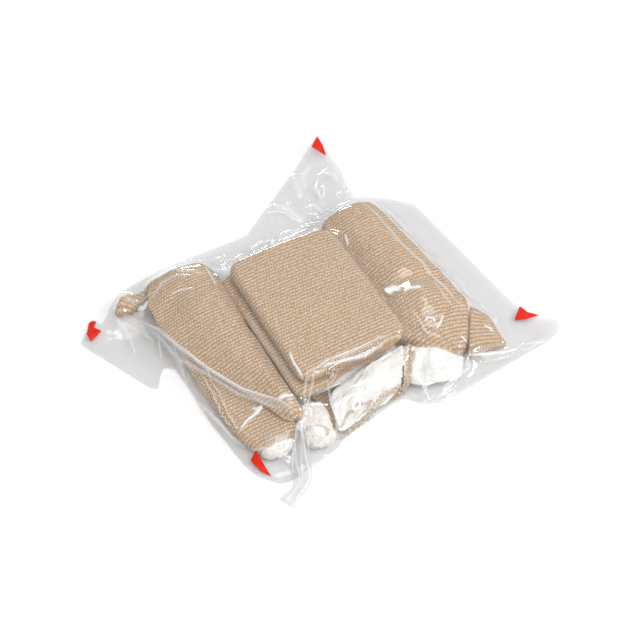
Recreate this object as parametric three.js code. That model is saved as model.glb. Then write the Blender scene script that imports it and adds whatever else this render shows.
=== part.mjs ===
// Emergency trauma bandage in its clear vacuum pouch, lying flat.
//
// A four inch elastic wrap is folded into three columns round a white absorbent pad: a thick centre
// block on top, a pair of folds down the left side and one fold down the right side. A clear pouch of
// two film sheets, sealed along the rim, is drawn down tightly over the folds, and a red tear mark is
// printed on each of its four corners.
//
// Units are millimetres. +Z is up and the pouch rests on z = 0. +X and +Y run along the pouch's sides.
// The origin is the middle of the pouch's own box, on the surface that it lies on.

import * as THREE from "three";

// Driving sizes of the pouch.
const POUCH_LENGTH = 182; // along X, from ear to ear
const POUCH_WIDTH = 174; // along Y, from ear to ear
const FILM = 0.5; // thickness of one film sheet
const FILM_PULL = 1.5; // how hard the vacuum draws the film down between what it covers
const FILM_SLOPE = 3.5; // half the width of the film's fall beside the block
const MARK_CELLS = 2; // cells along each leg of a tear mark
const COLUMN_CELLS = { beside: 7, over: 9 }; // of the film's grid beside the block and over it
const ROW_CELLS = { beside: 5, over: 11 };
const MARK_LEG = 13; // leg of a tear mark, along the rim
const MARK_PRINT = 0.3; // thickness of a printed tear mark

// Driving sizes of the folded wrap and the pad.
const WRAP_WIDTH = 103; // the wrap's four inches, along the folds
const WRAP_LAYER = 1.8; // thickness of the elastic knit
const LAYER_GAP = 0.35; // between two layers of one fold
const PIECE_GAP = 0.35; // between two pieces that rest on each other
const BANDAGE_TURN = -14.5; // degrees that the folded bandage sits askew in the pouch
const BANDAGE_PLACE = { x: -2.7, y: -7.9 }; // centre of the block in the pouch

const BLOCK_WIDTH = 56;
const BLOCK_LENGTH = 79;
const BLOCK_LAYERS = 6;

const BASE_LAYER = 1.6; // the single layer of wrap under the pad
const BASE_FRONT = 0.72; // how far it runs in front of the block, as a share of the lobes' length
const BASE_SLANT = 0.24; // rise of its front edge towards the right
const PAD_WIDTH = 51;
const PAD_LENGTH = 88;
const PAD_HEIGHT = 9.2;

const LEFT_UNDER_INSET = 7; // from the fold above to the under fold, on the block's side
const LEFT_UNDER_WIDTH = 26.5;
const LEFT_UNDER_HEIGHT = 9.6;
const LEFT_FOLD_WIDTH = 39;
const LEFT_FOLD_HEIGHT = 7.2;
const RIGHT_FOLD_WIDTH = 40;
const RIGHT_FOLD_HEIGHT = 18.4;
const RIGHT_FLAP_HEIGHT = 7.6;

const LOBE_LENGTH = 20; // how far the pad bulges out in front of the block
const LOBE_HEIGHT = 11.6;
const PAD_ROLL_HEIGHT = 9.4;

const TAIL_LENGTH = 27; // twisted end of the wrap behind the left folds
const TAIL_THICKNESS = 8;
const CURL_LENGTH = 17; // rolled tip of the film at the front left corner
const CURL_WIDTH = 6.5;
const CURL_HEIGHT = 3.2;

// Corners of the pouch as shares of its length and width, and how each ear stands up: lift is its
// height in millimetres, and reach the share of the sheet towards the corner where the lift starts.
// mark is how many cells up the side edge the tear mark is printed, counted from the corner.
const CORNERS = {
  frontLeft: { x: -0.414, y: -0.363, lift: 1, reach: 0.9, mark: 0 },
  frontRight: { x: 0.455, y: -0.5, lift: 4, reach: 0.88, mark: 2 },
  backLeft: { x: -0.497, y: 0.341, lift: 2, reach: 0.86, mark: 0 },
  backRight: { x: 0.472, y: 0.5, lift: 6, reach: 0.82, mark: 0 },
};
const TIP_PLACE = { x: -0.343, y: -0.401 }; // where the rolled tip leaves the rim, in the same shares
const TIP_TURN = 16; // degrees that it points away from the rim

// Bends of the pouch's four edges between those corners, as shares of its length and width.
const EDGE_BENDS = {
  front: [
    { x: -0.36, y: -0.385 },
    { x: -0.313, y: -0.394 },
    { x: -0.233, y: -0.4 },
    { x: -0.2, y: -0.394 },
    { x: -0.034, y: -0.394 },
    { x: 0, y: -0.404 },
    { x: 0.015, y: -0.43 },
    { x: 0.047, y: -0.457 },
    { x: 0.114, y: -0.474 },
    { x: 0.334, y: -0.498 },
    { x: 0.4, y: -0.502 },
  ],
  back: [
    { x: -0.449, y: 0.372 },
    { x: -0.412, y: 0.366 },
    { x: -0.35, y: 0.397 },
    { x: -0.3, y: 0.41 },
    { x: -0.21, y: 0.407 },
    { x: -0.101, y: 0.386 },
    { x: 0.075, y: 0.346 },
    { x: 0.11, y: 0.357 },
    { x: 0.313, y: 0.435 },
  ],
  left: [
    { x: -0.436, y: -0.3 },
    { x: -0.434, y: -0.25 },
    { x: -0.412, y: -0.097 },
    { x: -0.386, y: 0.03 },
    { x: -0.378, y: 0.09 },
    { x: -0.402, y: 0.108 },
    { x: -0.45, y: 0.092 },
  ],
  right: [
    { x: 0.436, y: -0.434 },
    { x: 0.436, y: -0.36 },
    { x: 0.503, y: 0.114 },
    { x: 0.46, y: 0.184 },
    { x: 0.4, y: 0.226 },
    { x: 0.386, y: 0.234 },
    { x: 0.413, y: 0.31 },
    { x: 0.438, y: 0.352 },
    { x: 0.459, y: 0.442 },
  ],
};

// Plans of the soft pieces in front of the block, by their four corners. x is a share of the block's
// width from its centre, and y is a share of the lobes' length in front of the block.
const FRONT_PLANS = {
  padRoll: {
    frontLeft: { x: -0.6, y: 0.93 },
    frontRight: { x: -0.38, y: 1.04 },
    backLeft: { x: -0.61, y: 0.14 },
    backRight: { x: -0.365, y: 0.14 },
  },
  leftLobe: {
    frontLeft: { x: -0.355, y: 1.06 },
    frontRight: { x: 0.34, y: 0.53 },
    backLeft: { x: -0.325, y: 0.02 },
    backRight: { x: 0.48, y: 0.02 },
  },
  divider: {
    frontLeft: { x: 0.348, y: 0.55 },
    frontRight: { x: 0.388, y: 0.6 },
    backLeft: { x: 0.488, y: 0.02 },
    backRight: { x: 0.53, y: 0.02 },
  },
  rightLobe: {
    frontLeft: { x: 0.396, y: 0.63 },
    frontRight: { x: 0.75, y: 0.99 },
    backLeft: { x: 0.54, y: 0.04 },
    backRight: { x: 0.91, y: 0.56 },
  },
  rightFlap: {
    frontLeft: { x: 0.95, y: 0.52 },
    frontRight: { x: 1.31, y: 0.63 },
    backLeft: { x: 0.76, y: 0.03 },
    backRight: { x: 1.34, y: 0.03 },
  },
};

// How far the middle of each edge's grid lines is moved along the rim, as a share of the edge, so that
// the lines run on straight from the turned bandage.
const RIM_SHIFTS = { front: -0.13, back: 0.06, left: 0, right: -0.15 };

// Cross sections of the folds from front to back. along is the share of the wrap's width, inner and
// outer are the two sides as shares of the fold's own width from the block outwards, and high is a
// share of its height.
const LEFT_UNDER_STATIONS = [
  { along: 0, inner: 0.14, outer: 0.84, high: 0.9 },
  { along: 0.06, inner: 0.05, outer: 0.92, high: 1 },
  { along: 0.5, inner: 0, outer: 1, high: 1 },
  { along: 0.9, inner: 0.05, outer: 0.94, high: 0.96 },
  { along: 0.98, inner: 0.1, outer: 0.84, high: 0.84 },
];
const LEFT_FOLD_STATIONS = [
  { along: 0.03, inner: 0, outer: 0.3, high: 0.8 },
  { along: 0.14, inner: 0, outer: 0.48, high: 0.92 },
  { along: 0.4, inner: 0, outer: 0.8, high: 1 },
  { along: 0.72, inner: 0, outer: 1, high: 1 },
  { along: 0.9, inner: 0.02, outer: 0.93, high: 0.97 },
  { along: 0.98, inner: 0.08, outer: 0.79, high: 0.9 },
  { along: 1.03, inner: 0.2, outer: 0.6, high: 0.78 },
];
const RIGHT_FOLD_STATIONS = [
  { along: 0.13, inner: 0.28, outer: 1.06, high: 0.66 },
  { along: 0.18, inner: 0.1, outer: 1.08, high: 0.86 },
  { along: 0.34, inner: 0, outer: 1.04, high: 0.97 },
  { along: 0.62, inner: 0, outer: 0.96, high: 1 },
  { along: 0.96, inner: 0, outer: 0.88, high: 0.97 },
  { along: 1.04, inner: 0.08, outer: 0.8, high: 0.84 },
];

// Ends of a pillow or pad: along is the share of its length, wide and high are shares of its section.
const PILLOW_STATIONS = [
  { along: 0, wide: 0.62, high: 0.5 },
  { along: 0.06, wide: 0.86, high: 0.8 },
  { along: 0.2, wide: 1, high: 0.98 },
  { along: 0.5, wide: 1, high: 1 },
  { along: 0.8, wide: 1, high: 0.98 },
  { along: 0.94, wide: 0.88, high: 0.82 },
  { along: 1, wide: 0.64, high: 0.5 },
];

// The centre block's sections: its corners are rounded in plan and its ends are a little lower.
const BLOCK_STATIONS = [
  { along: 0, wide: 0.9, high: 0.86 },
  { along: 0.03, wide: 0.96, high: 0.94 },
  { along: 0.14, wide: 1, high: 1 },
  { along: 0.86, wide: 1, high: 1 },
  { along: 0.97, wide: 0.96, high: 0.94 },
  { along: 1, wide: 0.9, high: 0.86 },
];

const KNIT = { color: 0xc69f74, roughness: 0.9, metalness: 0 };
const GAUZE = { color: 0xf3f0ea, roughness: 0.95, metalness: 0 };
const CLEAR_FILM = { color: 0xdfe3e5, roughness: 0.08, metalness: 0, transparent: true, opacity: 0.3 };
const RED_PRINT = { color: 0xe0341f, roughness: 0.35, metalness: 0 };

const layerPitch = WRAP_LAYER + LAYER_GAP;
const floorOfPieces = FILM + PIECE_GAP;
const padFloor = floorOfPieces + BASE_LAYER + PIECE_GAP;
const blockHeight = BLOCK_LAYERS * layerPitch - LAYER_GAP;
const blockFloor = padFloor + PAD_HEIGHT + PIECE_GAP;
const wrapFront = -WRAP_WIDTH / 2 - 1; // the folds' front edges, measured from the block's centre
const columnSide = BLOCK_WIDTH / 2 + PIECE_GAP; // where the side columns start

/** A closed solid through sections of equally many points, each section a ring in an upright plane. */
function loft(rings, capTriangles) {
  const count = rings[0].length;
  const positions = rings.flat().flatMap((point) => [point.x, point.y, point.z]);
  const faces = [];
  for (let ring = 0; ring + 1 < rings.length; ring++) {
    for (let i = 0; i < count; i++) {
      const a = ring * count + i;
      const b = ring * count + ((i + 1) % count);
      faces.push(a, b, b + count, a, b + count, a + count);
    }
  }
  const last = (rings.length - 1) * count;
  for (const [a, b, c] of capTriangles) {
    faces.push(a, c, b, last + a, last + b, last + c);
  }
  const geometry = new THREE.BufferGeometry();
  geometry.setAttribute("position", new THREE.Float32BufferAttribute(positions, 3));
  geometry.setIndex(faces);
  geometry.computeVertexNormals();
  return geometry;
}

/** A flattened roll of wrap, seen from its end: the knit winds inwards, each turn inside the last. */
function rollOutline(width, height) {
  const outermost = height / 2 - WRAP_LAYER / 2;
  const innermost = WRAP_LAYER / 2 + LAYER_GAP / 2;
  const turns = Math.max(0.5, (outermost - innermost) / layerPitch);
  const steps = Math.ceil(turns * 2) * 5;
  const straight = width / 2 - height / 2;
  const sides = { outside: [], inside: [] };
  for (let i = 0; i <= steps; i++) {
    const angle = -Math.PI / 2 + (2 * Math.PI * turns * i) / steps;
    const radius = outermost - (layerPitch * turns * i) / steps;
    const centre = Math.cos(angle) >= 0 ? straight : -straight;
    for (const [side, away] of [["outside", WRAP_LAYER / 2], ["inside", -WRAP_LAYER / 2]]) {
      const reach = radius + away;
      sides[side].push(
        new THREE.Vector2(centre + reach * Math.cos(angle), height / 2 + reach * Math.sin(angle)),
      );
    }
  }
  return [...sides.outside, ...sides.inside.reverse()];
}

/** Wrap folded back and forth into a stack, seen from its end. */
function stackOutline(width, layers) {
  const bend = layerPitch / 2;
  const straight = width / 2 - bend - WRAP_LAYER / 2;
  const bendSteps = 4;
  const sides = { left: [], right: [] };
  const add = (x, z, normalX, normalZ) => {
    const half = WRAP_LAYER / 2;
    sides.left.push(new THREE.Vector2(x + normalX * half, z + normalZ * half));
    sides.right.push(new THREE.Vector2(x - normalX * half, z - normalZ * half));
  };
  for (let layer = 0; layer < layers; layer++) {
    const z = WRAP_LAYER / 2 + layer * layerPitch;
    const heading = layer % 2 === 0 ? 1 : -1;
    if (layer === 0) add(-heading * (width / 2), z, 0, heading);
    if (layer + 1 === layers) {
      add(heading * (width / 2), z, 0, heading);
      break;
    }
    for (let i = 0; i <= bendSteps; i++) {
      const angle = -Math.PI / 2 + (Math.PI * i) / bendSteps;
      const outX = heading * Math.cos(angle);
      const outZ = Math.sin(angle);
      add(heading * straight + bend * outX, z + bend + bend * outZ, -heading * outX, -heading * outZ);
    }
  }
  return [...sides.right, ...sides.left.reverse()];
}

/** A soft flat-bottomed section, seen from its end: a superellipse with its lower half flattened. */
function pillowOutline(width, height, squareness, points) {
  const flatShare = 0.35; // of the height lies below the widest line
  return Array.from({ length: points }, (_, i) => {
    const angle = (2 * Math.PI * i) / points;
    const reach = (value) => Math.sign(value) * Math.abs(value) ** (2 / squareness);
    const up = reach(Math.sin(angle));
    const share = up > 0 ? flatShare + (1 - flatShare) * up : flatShare * (1 + up);
    return new THREE.Vector2((width / 2) * reach(Math.cos(angle)), height * share);
  });
}

/** Lofts an outline along +Y. place(station) gives each ring's y, sideways shift, and two scales. */
function loftAlong(outline, stations, place) {
  const caps = THREE.ShapeUtils.triangulateShape(outline, []);
  const ccw = !THREE.ShapeUtils.isClockWise(outline);
  const ordered = ccw ? caps : caps.map(([a, b, c]) => [a, c, b]);
  const ring = (station) => {
    const { y, shift, scaleX, scaleZ } = place(station);
    return outline.map((p) => new THREE.Vector3(shift + p.x * scaleX, y, p.y * scaleZ));
  };
  const rings = stations.map(ring);
  return loft(ccw ? rings.reverse() : rings, ordered);
}

/** A side column of wrap: side is -1 for the left of the block and 1 for the right. */
function columnGeometry(side, width, height, stations) {
  const outline = rollOutline(width, height);
  return loftAlong(outline, stations, ({ along, inner, outer, high }) => ({
    y: wrapFront + along * WRAP_WIDTH,
    shift: side * (columnSide + (width * (inner + outer)) / 2),
    scaleX: outer - inner,
    scaleZ: high,
  }));
}

/** A pad or lobe between y = 0 and its length, centred on x = 0 and standing on z = 0. */
function pillowGeometry(width, length, height, squareness = 3.2, points = 20) {
  const outline = pillowOutline(width, height, squareness, points);
  return loftAlong(outline, PILLOW_STATIONS, ({ along, wide, high }) => ({
    y: along * length,
    shift: 0,
    scaleX: wide,
    scaleZ: high,
  }));
}

/** A soft piece in front of the block: a pillow stretched over the four corners of its plan. */
function frontPieceGeometry(plan, height, squareness, points) {
  const geometry = pillowGeometry(1, 1, height, squareness, points);
  const corner = ({ x, y }) => new THREE.Vector2(x * BLOCK_WIDTH, blockFront - y * LOBE_LENGTH);
  const position = geometry.getAttribute("position");
  for (let i = 0; i < position.count; i++) {
    const [across, along] = [position.getX(i) + 0.5, position.getY(i)];
    const front = corner(plan.frontLeft).lerp(corner(plan.frontRight), across);
    const back = corner(plan.backLeft).lerp(corner(plan.backRight), across);
    const { x, y } = front.lerp(back, along);
    position.setXYZ(i, x, y, position.getZ(i));
  }
  geometry.computeVertexNormals();
  return geometry;
}

/** The centre block: the wrap folded back and forth, rounded at its corners. */
function blockGeometry() {
  const outline = stackOutline(BLOCK_WIDTH, BLOCK_LAYERS);
  return loftAlong(outline, BLOCK_STATIONS, ({ along, wide, high }) => ({
    y: (along - 0.5) * BLOCK_LENGTH,
    shift: 0,
    scaleX: wide,
    scaleZ: high,
  }));
}

/** The single layer under the pad: slanted in front, and behind that it fits between the side columns. */
function baseLayerGeometry() {
  const besideFold = RIGHT_FOLD_STATIONS.slice(0, 3).map(({ along, inner }) => ({
    y: wrapFront + along * WRAP_WIDTH,
    left: -BLOCK_WIDTH / 2,
    right: columnSide + inner * RIGHT_FOLD_WIDTH - PIECE_GAP,
    slant: 0,
  }));
  const left = FRONT_PLANS.leftLobe.frontLeft.x * BLOCK_WIDTH;
  const right = FRONT_PLANS.rightLobe.backLeft.x * BLOCK_WIDTH;
  const stations = [
    { y: blockFront - LOBE_LENGTH * BASE_FRONT, left, right, slant: BASE_SLANT },
    { y: besideFold[0].y - LOBE_LENGTH * 0.1, left, right, slant: 0 },
    ...besideFold,
    { ...besideFold.at(-1), y: padFront + PAD_LENGTH },
  ];
  const outline = pillowOutline(1, BASE_LAYER, 5, 12);
  const rings = stations.map(({ y, left, right, slant }) =>
    outline.map((p) => {
      const x = (left + right) / 2 + p.x * (right - left);
      return new THREE.Vector3(x, y + slant * x, p.y);
    }),
  );
  return loft(rings.reverse(), THREE.ShapeUtils.triangulateShape(outline, []));
}

/** The wrap's free end: a short strip that twists as it runs out along -X and bends down to the film. */
function tailGeometry() {
  const rings = 9;
  const points = 10;
  const quarterTurns = 2.4;
  const outline = pillowOutline(TAIL_THICKNESS, TAIL_THICKNESS * 0.62, 2.2, points);
  const middle = TAIL_THICKNESS * 0.31;
  const made = Array.from({ length: rings }, (_, ring) => {
    const share = ring / (rings - 1);
    const twist = (Math.PI / 2) * quarterTurns * share;
    const knob = 1 + 0.28 * Math.sin(share * 3 * Math.PI);
    const taper = share === 0 || share === 1 ? 0.55 : 1;
    const centreY = -3.2 * share;
    const centreZ = TAIL_THICKNESS * (0.66 - 0.04 * share);
    return outline.map((p) => {
      const x = p.x * 0.86 * knob * taper;
      const z = (p.y - middle) * knob * taper;
      return new THREE.Vector3(
        -share * TAIL_LENGTH,
        centreY + x * Math.cos(twist) - z * Math.sin(twist),
        centreZ + x * Math.sin(twist) + z * Math.cos(twist),
      );
    });
  });
  return loft(made.reverse(), THREE.ShapeUtils.triangulateShape(outline, []));
}

/** The film's tip, rolled to a flat tube that runs out along -X and widens to its open-looking end. */
function curlGeometry() {
  const rings = 6;
  const points = 10;
  const outline = pillowOutline(CURL_WIDTH, CURL_HEIGHT, 2.4, points);
  const made = Array.from({ length: rings }, (_, ring) => {
    const share = ring / (rings - 1);
    const wide = 0.62 + 0.38 * share;
    const bend = CURL_LENGTH * 0.1 * Math.sin(Math.PI * share);
    return outline.map(
      (p) => new THREE.Vector3(-share * CURL_LENGTH, p.x * wide + bend, p.y * (1 - 0.25 * share)),
    );
  });
  return loft(made.reverse(), THREE.ShapeUtils.triangulateShape(outline, []));
}

/** The point at a share of the way along a chain of points, by length. */
function alongChain(chain, share) {
  const lengths = chain.slice(1).map((point, i) => point.distanceTo(chain[i]));
  let left = share * lengths.reduce((sum, length) => sum + length, 0);
  for (const [i, length] of lengths.entries()) {
    if (left <= length || i + 1 === lengths.length) {
      return chain[i].clone().lerp(chain[i + 1], Math.min(1, left / length));
    }
    left -= length;
  }
}

const sheetPoint = ({ x, y }) => new THREE.Vector2(x * POUCH_LENGTH, y * POUCH_WIDTH);

/** The pouch's rim as four chains of points, front and back from left to right, sides from the front. */
function rimChains() {
  const [frontLeft, frontRight, backLeft, backRight] = [
    CORNERS.frontLeft,
    CORNERS.frontRight,
    CORNERS.backLeft,
    CORNERS.backRight,
  ].map(sheetPoint);
  const chain = (from, bends, to) => [from, ...bends.map(sheetPoint), to];
  return {
    front: chain(frontLeft, EDGE_BENDS.front, frontRight),
    back: chain(backLeft, EDGE_BENDS.back, backRight),
    left: chain(frontLeft, EDGE_BENDS.left, backLeft),
    right: chain(frontRight, EDGE_BENDS.right, backRight),
  };
}

/** Grid lines across the pouch, denser where the film falls beside the block, from its middle. */
function gridLines(size, blockSize, cells) {
  const outer = size / 2;
  const steps = [
    { to: MARK_LEG - outer, cells: MARK_CELLS },
    { to: -blockSize / 2 - FILM_SLOPE, cells: cells.beside },
    { to: -blockSize / 2 + FILM_SLOPE, cells: 1 },
    { to: blockSize / 2 - FILM_SLOPE, cells: cells.over },
    { to: blockSize / 2 + FILM_SLOPE, cells: 1 },
    { to: outer - MARK_LEG, cells: cells.beside },
    { to: outer, cells: MARK_CELLS },
  ];
  const lines = [-outer];
  for (const step of steps) {
    const from = lines.at(-1);
    for (let i = 1; i <= step.cells; i++) lines.push(from + ((step.to - from) * i) / step.cells);
  }
  return lines;
}

/** How high the lower film stands at a share (s, t) of the sheet: flat, with its four ears raised. */
function earLift(s, t) {
  const towards = {
    frontLeft: (1 - s) * (1 - t),
    frontRight: s * (1 - t),
    backLeft: (1 - s) * t,
    backRight: s * t,
  };
  return Object.entries(CORNERS).reduce((height, [name, { lift, reach }]) => {
    const share = Math.max(0, (towards[name] - reach) / (1 - reach));
    return height + lift * share ** 1.6;
  }, 0);
}

/**
 * The sheet's grid of plan points, with the lower film's height at each. At the rim it follows the four
 * rim chains, and over the block it is turned with the bandage, so that its lines follow the folds. The
 * points between the two are spread evenly, each to its four neighbours' mean.
 */
function sheetGrid() {
  const { front, back, left, right } = rimChains();
  const turn = THREE.MathUtils.degToRad(BANDAGE_TURN);
  const place = new THREE.Vector2(BANDAGE_PLACE.x, BANDAGE_PLACE.y);
  const depth = (line, cells, { beside }) => Math.min(line, cells - line) - MARK_CELLS - beside;
  const moved = (share, shift) => share + 16 * shift * (share * (1 - share)) ** 2;
  const plan = rowLines.map((y, row) =>
    columnLines.map((x, column) => {
      const s = x / POUCH_LENGTH + 0.5;
      const t = y / POUCH_WIDTH + 0.5;
      if (row === 0) return alongChain(front, moved(s, RIM_SHIFTS.front));
      if (row === rowCells) return alongChain(back, moved(s, RIM_SHIFTS.back));
      if (column === 0) return alongChain(left, moved(t, RIM_SHIFTS.left));
      if (column === columnCells) return alongChain(right, moved(t, RIM_SHIFTS.right));
      return new THREE.Vector2(x, y).rotateAround(new THREE.Vector2(), turn).add(place);
    }),
  );
  const sweeps = 300;
  for (let sweep = 0; sweep < sweeps; sweep++) {
    for (let row = 1; row < rowCells; row++) {
      for (let column = 1; column < columnCells; column++) {
        const depths = [depth(row, rowCells, ROW_CELLS), depth(column, columnCells, COLUMN_CELLS)];
        const overBlock = Math.min(...depths) >= 0 && Math.max(...depths) > 1;
        if (overBlock) continue;
        const beside = [plan[row][column - 1], plan[row][column + 1]];
        const around = [...beside, plan[row - 1][column], plan[row + 1][column]];
        const sum = around.reduce((total, point) => total.add(point), new THREE.Vector2());
        plan[row][column].copy(sum.divideScalar(around.length));
      }
    }
  }
  return plan.map((points, row) =>
    points.map(({ x, y }, column) => {
      const s = columnLines[column] / POUCH_LENGTH + 0.5;
      const t = rowLines[row] / POUCH_WIDTH + 0.5;
      return { x, y, floor: earLift(s, t) };
    }),
  );
}

/** The two triangles of a grid cell, cut so that a corner's tear mark ends on a diagonal. */
function cellTriangles(row, column) {
  const towardsMiddle = row < rowCells / 2 === column < columnCells / 2;
  const [a, b, c, d] = [[row, column], [row, column + 1], [row + 1, column + 1], [row + 1, column]];
  return towardsMiddle ? [[a, b, d], [b, c, d]] : [[a, b, c], [a, c, d]];
}

/** All triangles of the sheet's grid. */
function sheetTriangles() {
  const made = [];
  for (let row = 0; row < rowCells; row++) {
    for (let column = 0; column < columnCells; column++) made.push(...cellTriangles(row, column));
  }
  return made;
}

/** A closed plate over some of the grid's triangles, between two heights for each grid point. */
function plateGeometry(grid, triangles, under, thickness) {
  const index = new Map();
  const positions = [];
  const vertex = ([row, column], top) => {
    const key = `${row},${column},${top}`;
    if (!index.has(key)) {
      index.set(key, index.size);
      const { x, y } = grid[row][column];
      positions.push(x, y, under[row][column] + (top ? thickness : 0));
    }
    return index.get(key);
  };
  const edges = new Map();
  const faces = [];
  for (const triangle of triangles) {
    faces.push(...triangle.map((p) => vertex(p, true)));
    faces.push(...[...triangle].reverse().map((p) => vertex(p, false)));
    triangle.forEach((from, i) => {
      const to = triangle[(i + 1) % 3];
      if (!edges.delete(`${to}>${from}`)) edges.set(`${from}>${to}`, [from, to]);
    });
  }
  for (const [from, to] of edges.values()) {
    faces.push(vertex(from, false), vertex(to, false), vertex(to, true));
    faces.push(vertex(from, false), vertex(to, true), vertex(from, true));
  }
  const geometry = new THREE.BufferGeometry();
  geometry.setAttribute("position", new THREE.Float32BufferAttribute(positions, 3));
  geometry.setIndex(faces);
  geometry.computeVertexNormals();
  return geometry;
}

/** The highest point of some meshes over each square millimetre of the plan. */
class HeightMap {
  constructor(halfSize) {
    this.half = Math.ceil(halfSize);
    this.side = 2 * this.half + 1;
    this.heights = new Float32Array(this.side * this.side).fill(-Infinity);
  }

  /** Raises the map to a mesh's triangles. Each covers the cells that it reaches and their neighbours. */
  cover(mesh) {
    mesh.updateWorldMatrix(true, false);
    const position = mesh.geometry.getAttribute("position");
    const toPart = mesh.matrixWorld;
    const corner = (i) => new THREE.Vector3().fromBufferAttribute(position, i).applyMatrix4(toPart);
    const index = mesh.geometry.index.array;
    for (let i = 0; i < index.length; i += 3) {
      const [a, b, c] = [corner(index[i]), corner(index[i + 1]), corner(index[i + 2])];
      const steps = Math.ceil(Math.max(a.distanceTo(b), b.distanceTo(c), c.distanceTo(a)) / 0.8) + 1;
      for (let u = 0; u <= steps; u++) {
        for (let v = 0; u + v <= steps; v++) {
          const at = (axis) =>
            (a[axis] * (steps - u - v) + b[axis] * u + c[axis] * v) / steps;
          this.raise(at("x"), at("y"), at("z"));
        }
      }
    }
  }

  raise(x, y, z) {
    const column = Math.round(x) + this.half;
    const row = Math.round(y) + this.half;
    for (let j = row - 1; j <= row + 1; j++) {
      for (let i = column - 1; i <= column + 1; i++) {
        const cell = j * this.side + i;
        if (this.heights[cell] < z) this.heights[cell] = z;
      }
    }
  }

  at(x, y) {
    return this.heights[(Math.round(y) + this.half) * this.side + Math.round(x) + this.half] ?? -Infinity;
  }
}

/**
 * The upper film's underside. It starts above all that it covers, and each point then sinks towards its
 * neighbours' mean, less the vacuum's pull, as far as the contents under its triangles let it.
 */
function drapedHeights(grid, map) {
  const points = grid.flat();
  const wide = columnCells + 1;
  const least = points.map(({ floor }) => floor + FILM + PIECE_GAP);
  const heights = [...least];
  const held = points.map(() => []);
  const lattice = 8;
  for (const triangle of sheetTriangles()) {
    const ids = triangle.map(([row, column]) => row * wide + column);
    for (let u = 0; u <= lattice; u++) {
      for (let v = 0; u + v <= lattice; v++) {
        const shares = [lattice - u - v, u, v].map((n) => n / lattice);
        const [x, y] = ["x", "y"].map((axis) =>
          shares.reduce((sum, share, i) => sum + share * points[ids[i]][axis], 0),
        );
        const needed = map.at(x, y) + PIECE_GAP;
        if (!Number.isFinite(needed)) continue;
        ids.forEach((id, i) => {
          if (shares[i] > 0) held[id].push({ ids, shares, own: shares[i], needed });
          heights[id] = Math.max(heights[id], needed);
        });
      }
    }
  }
  const sweeps = 40;
  for (let sweep = 0; sweep < sweeps; sweep++) {
    for (let id = 0; id < points.length; id++) {
      let lowest = least[id];
      for (const { ids, shares, own, needed } of held[id]) {
        const now = shares[0] * heights[ids[0]] + shares[1] * heights[ids[1]] + shares[2] * heights[ids[2]];
        lowest = Math.max(lowest, heights[id] + (needed - now) / own);
      }
      const column = id % wide;
      const onRim = column === 0 || column === columnCells || id < wide || id >= points.length - wide;
      const mean = onRim
        ? least[id]
        : (heights[id - 1] + heights[id + 1] + heights[id - wide] + heights[id + wide]) / 4;
      heights[id] = Math.max(lowest, Math.min(heights[id], mean - FILM_PULL));
    }
  }
  return grid.map((row, j) => row.map((point, i) => heights[j * wide + i]));
}

/** The grid's triangles near one corner that a tear mark is printed on. */
function markTriangles(atRight, atBack, rowsAway) {
  const made = [];
  for (let j = 0; j < MARK_CELLS; j++) {
    for (let i = 0; i + j < MARK_CELLS; i++) {
      const row = atBack ? rowCells - 1 - j - rowsAway : j + rowsAway;
      const column = atRight ? columnCells - 1 - i : i;
      const cell = cellTriangles(row, column);
      const cornerRow = atBack ? row + 1 : row;
      const cornerColumn = atRight ? column + 1 : column;
      const holdsCorner = (triangle) => triangle.some(([r, c]) => r === cornerRow && c === cornerColumn);
      made.push(...(i + j + 1 < MARK_CELLS ? cell : cell.filter(holdsCorner)));
    }
  }
  return made;
}

function piece(name, geometry, finish, place = {}) {
  const mesh = new THREE.Mesh(geometry, new THREE.MeshStandardMaterial(finish));
  mesh.name = name;
  mesh.position.set(place.x ?? 0, place.y ?? 0, place.z ?? 0);
  mesh.rotation.z = THREE.MathUtils.degToRad(place.turn ?? 0);
  return mesh;
}

// The folded bandage, in its own frame: the block's centre is its origin and the folds run along Y.
const bandage = new THREE.Group();
bandage.position.set(BANDAGE_PLACE.x, BANDAGE_PLACE.y, 0);
bandage.rotation.z = THREE.MathUtils.degToRad(BANDAGE_TURN);

const blockFront = -BLOCK_LENGTH / 2;
const padFront = blockFront + PIECE_GAP;
const lobeFloor = floorOfPieces + BASE_LAYER + PIECE_GAP;
const leftFoldFloor = floorOfPieces + LEFT_UNDER_HEIGHT + PIECE_GAP;
const tailStart = {
  x: -(columnSide + LEFT_FOLD_WIDTH * 0.66),
  y: wrapFront + WRAP_WIDTH * LEFT_UNDER_STATIONS.at(-1).along + PIECE_GAP + TAIL_THICKNESS * 0.62,
};

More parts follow.
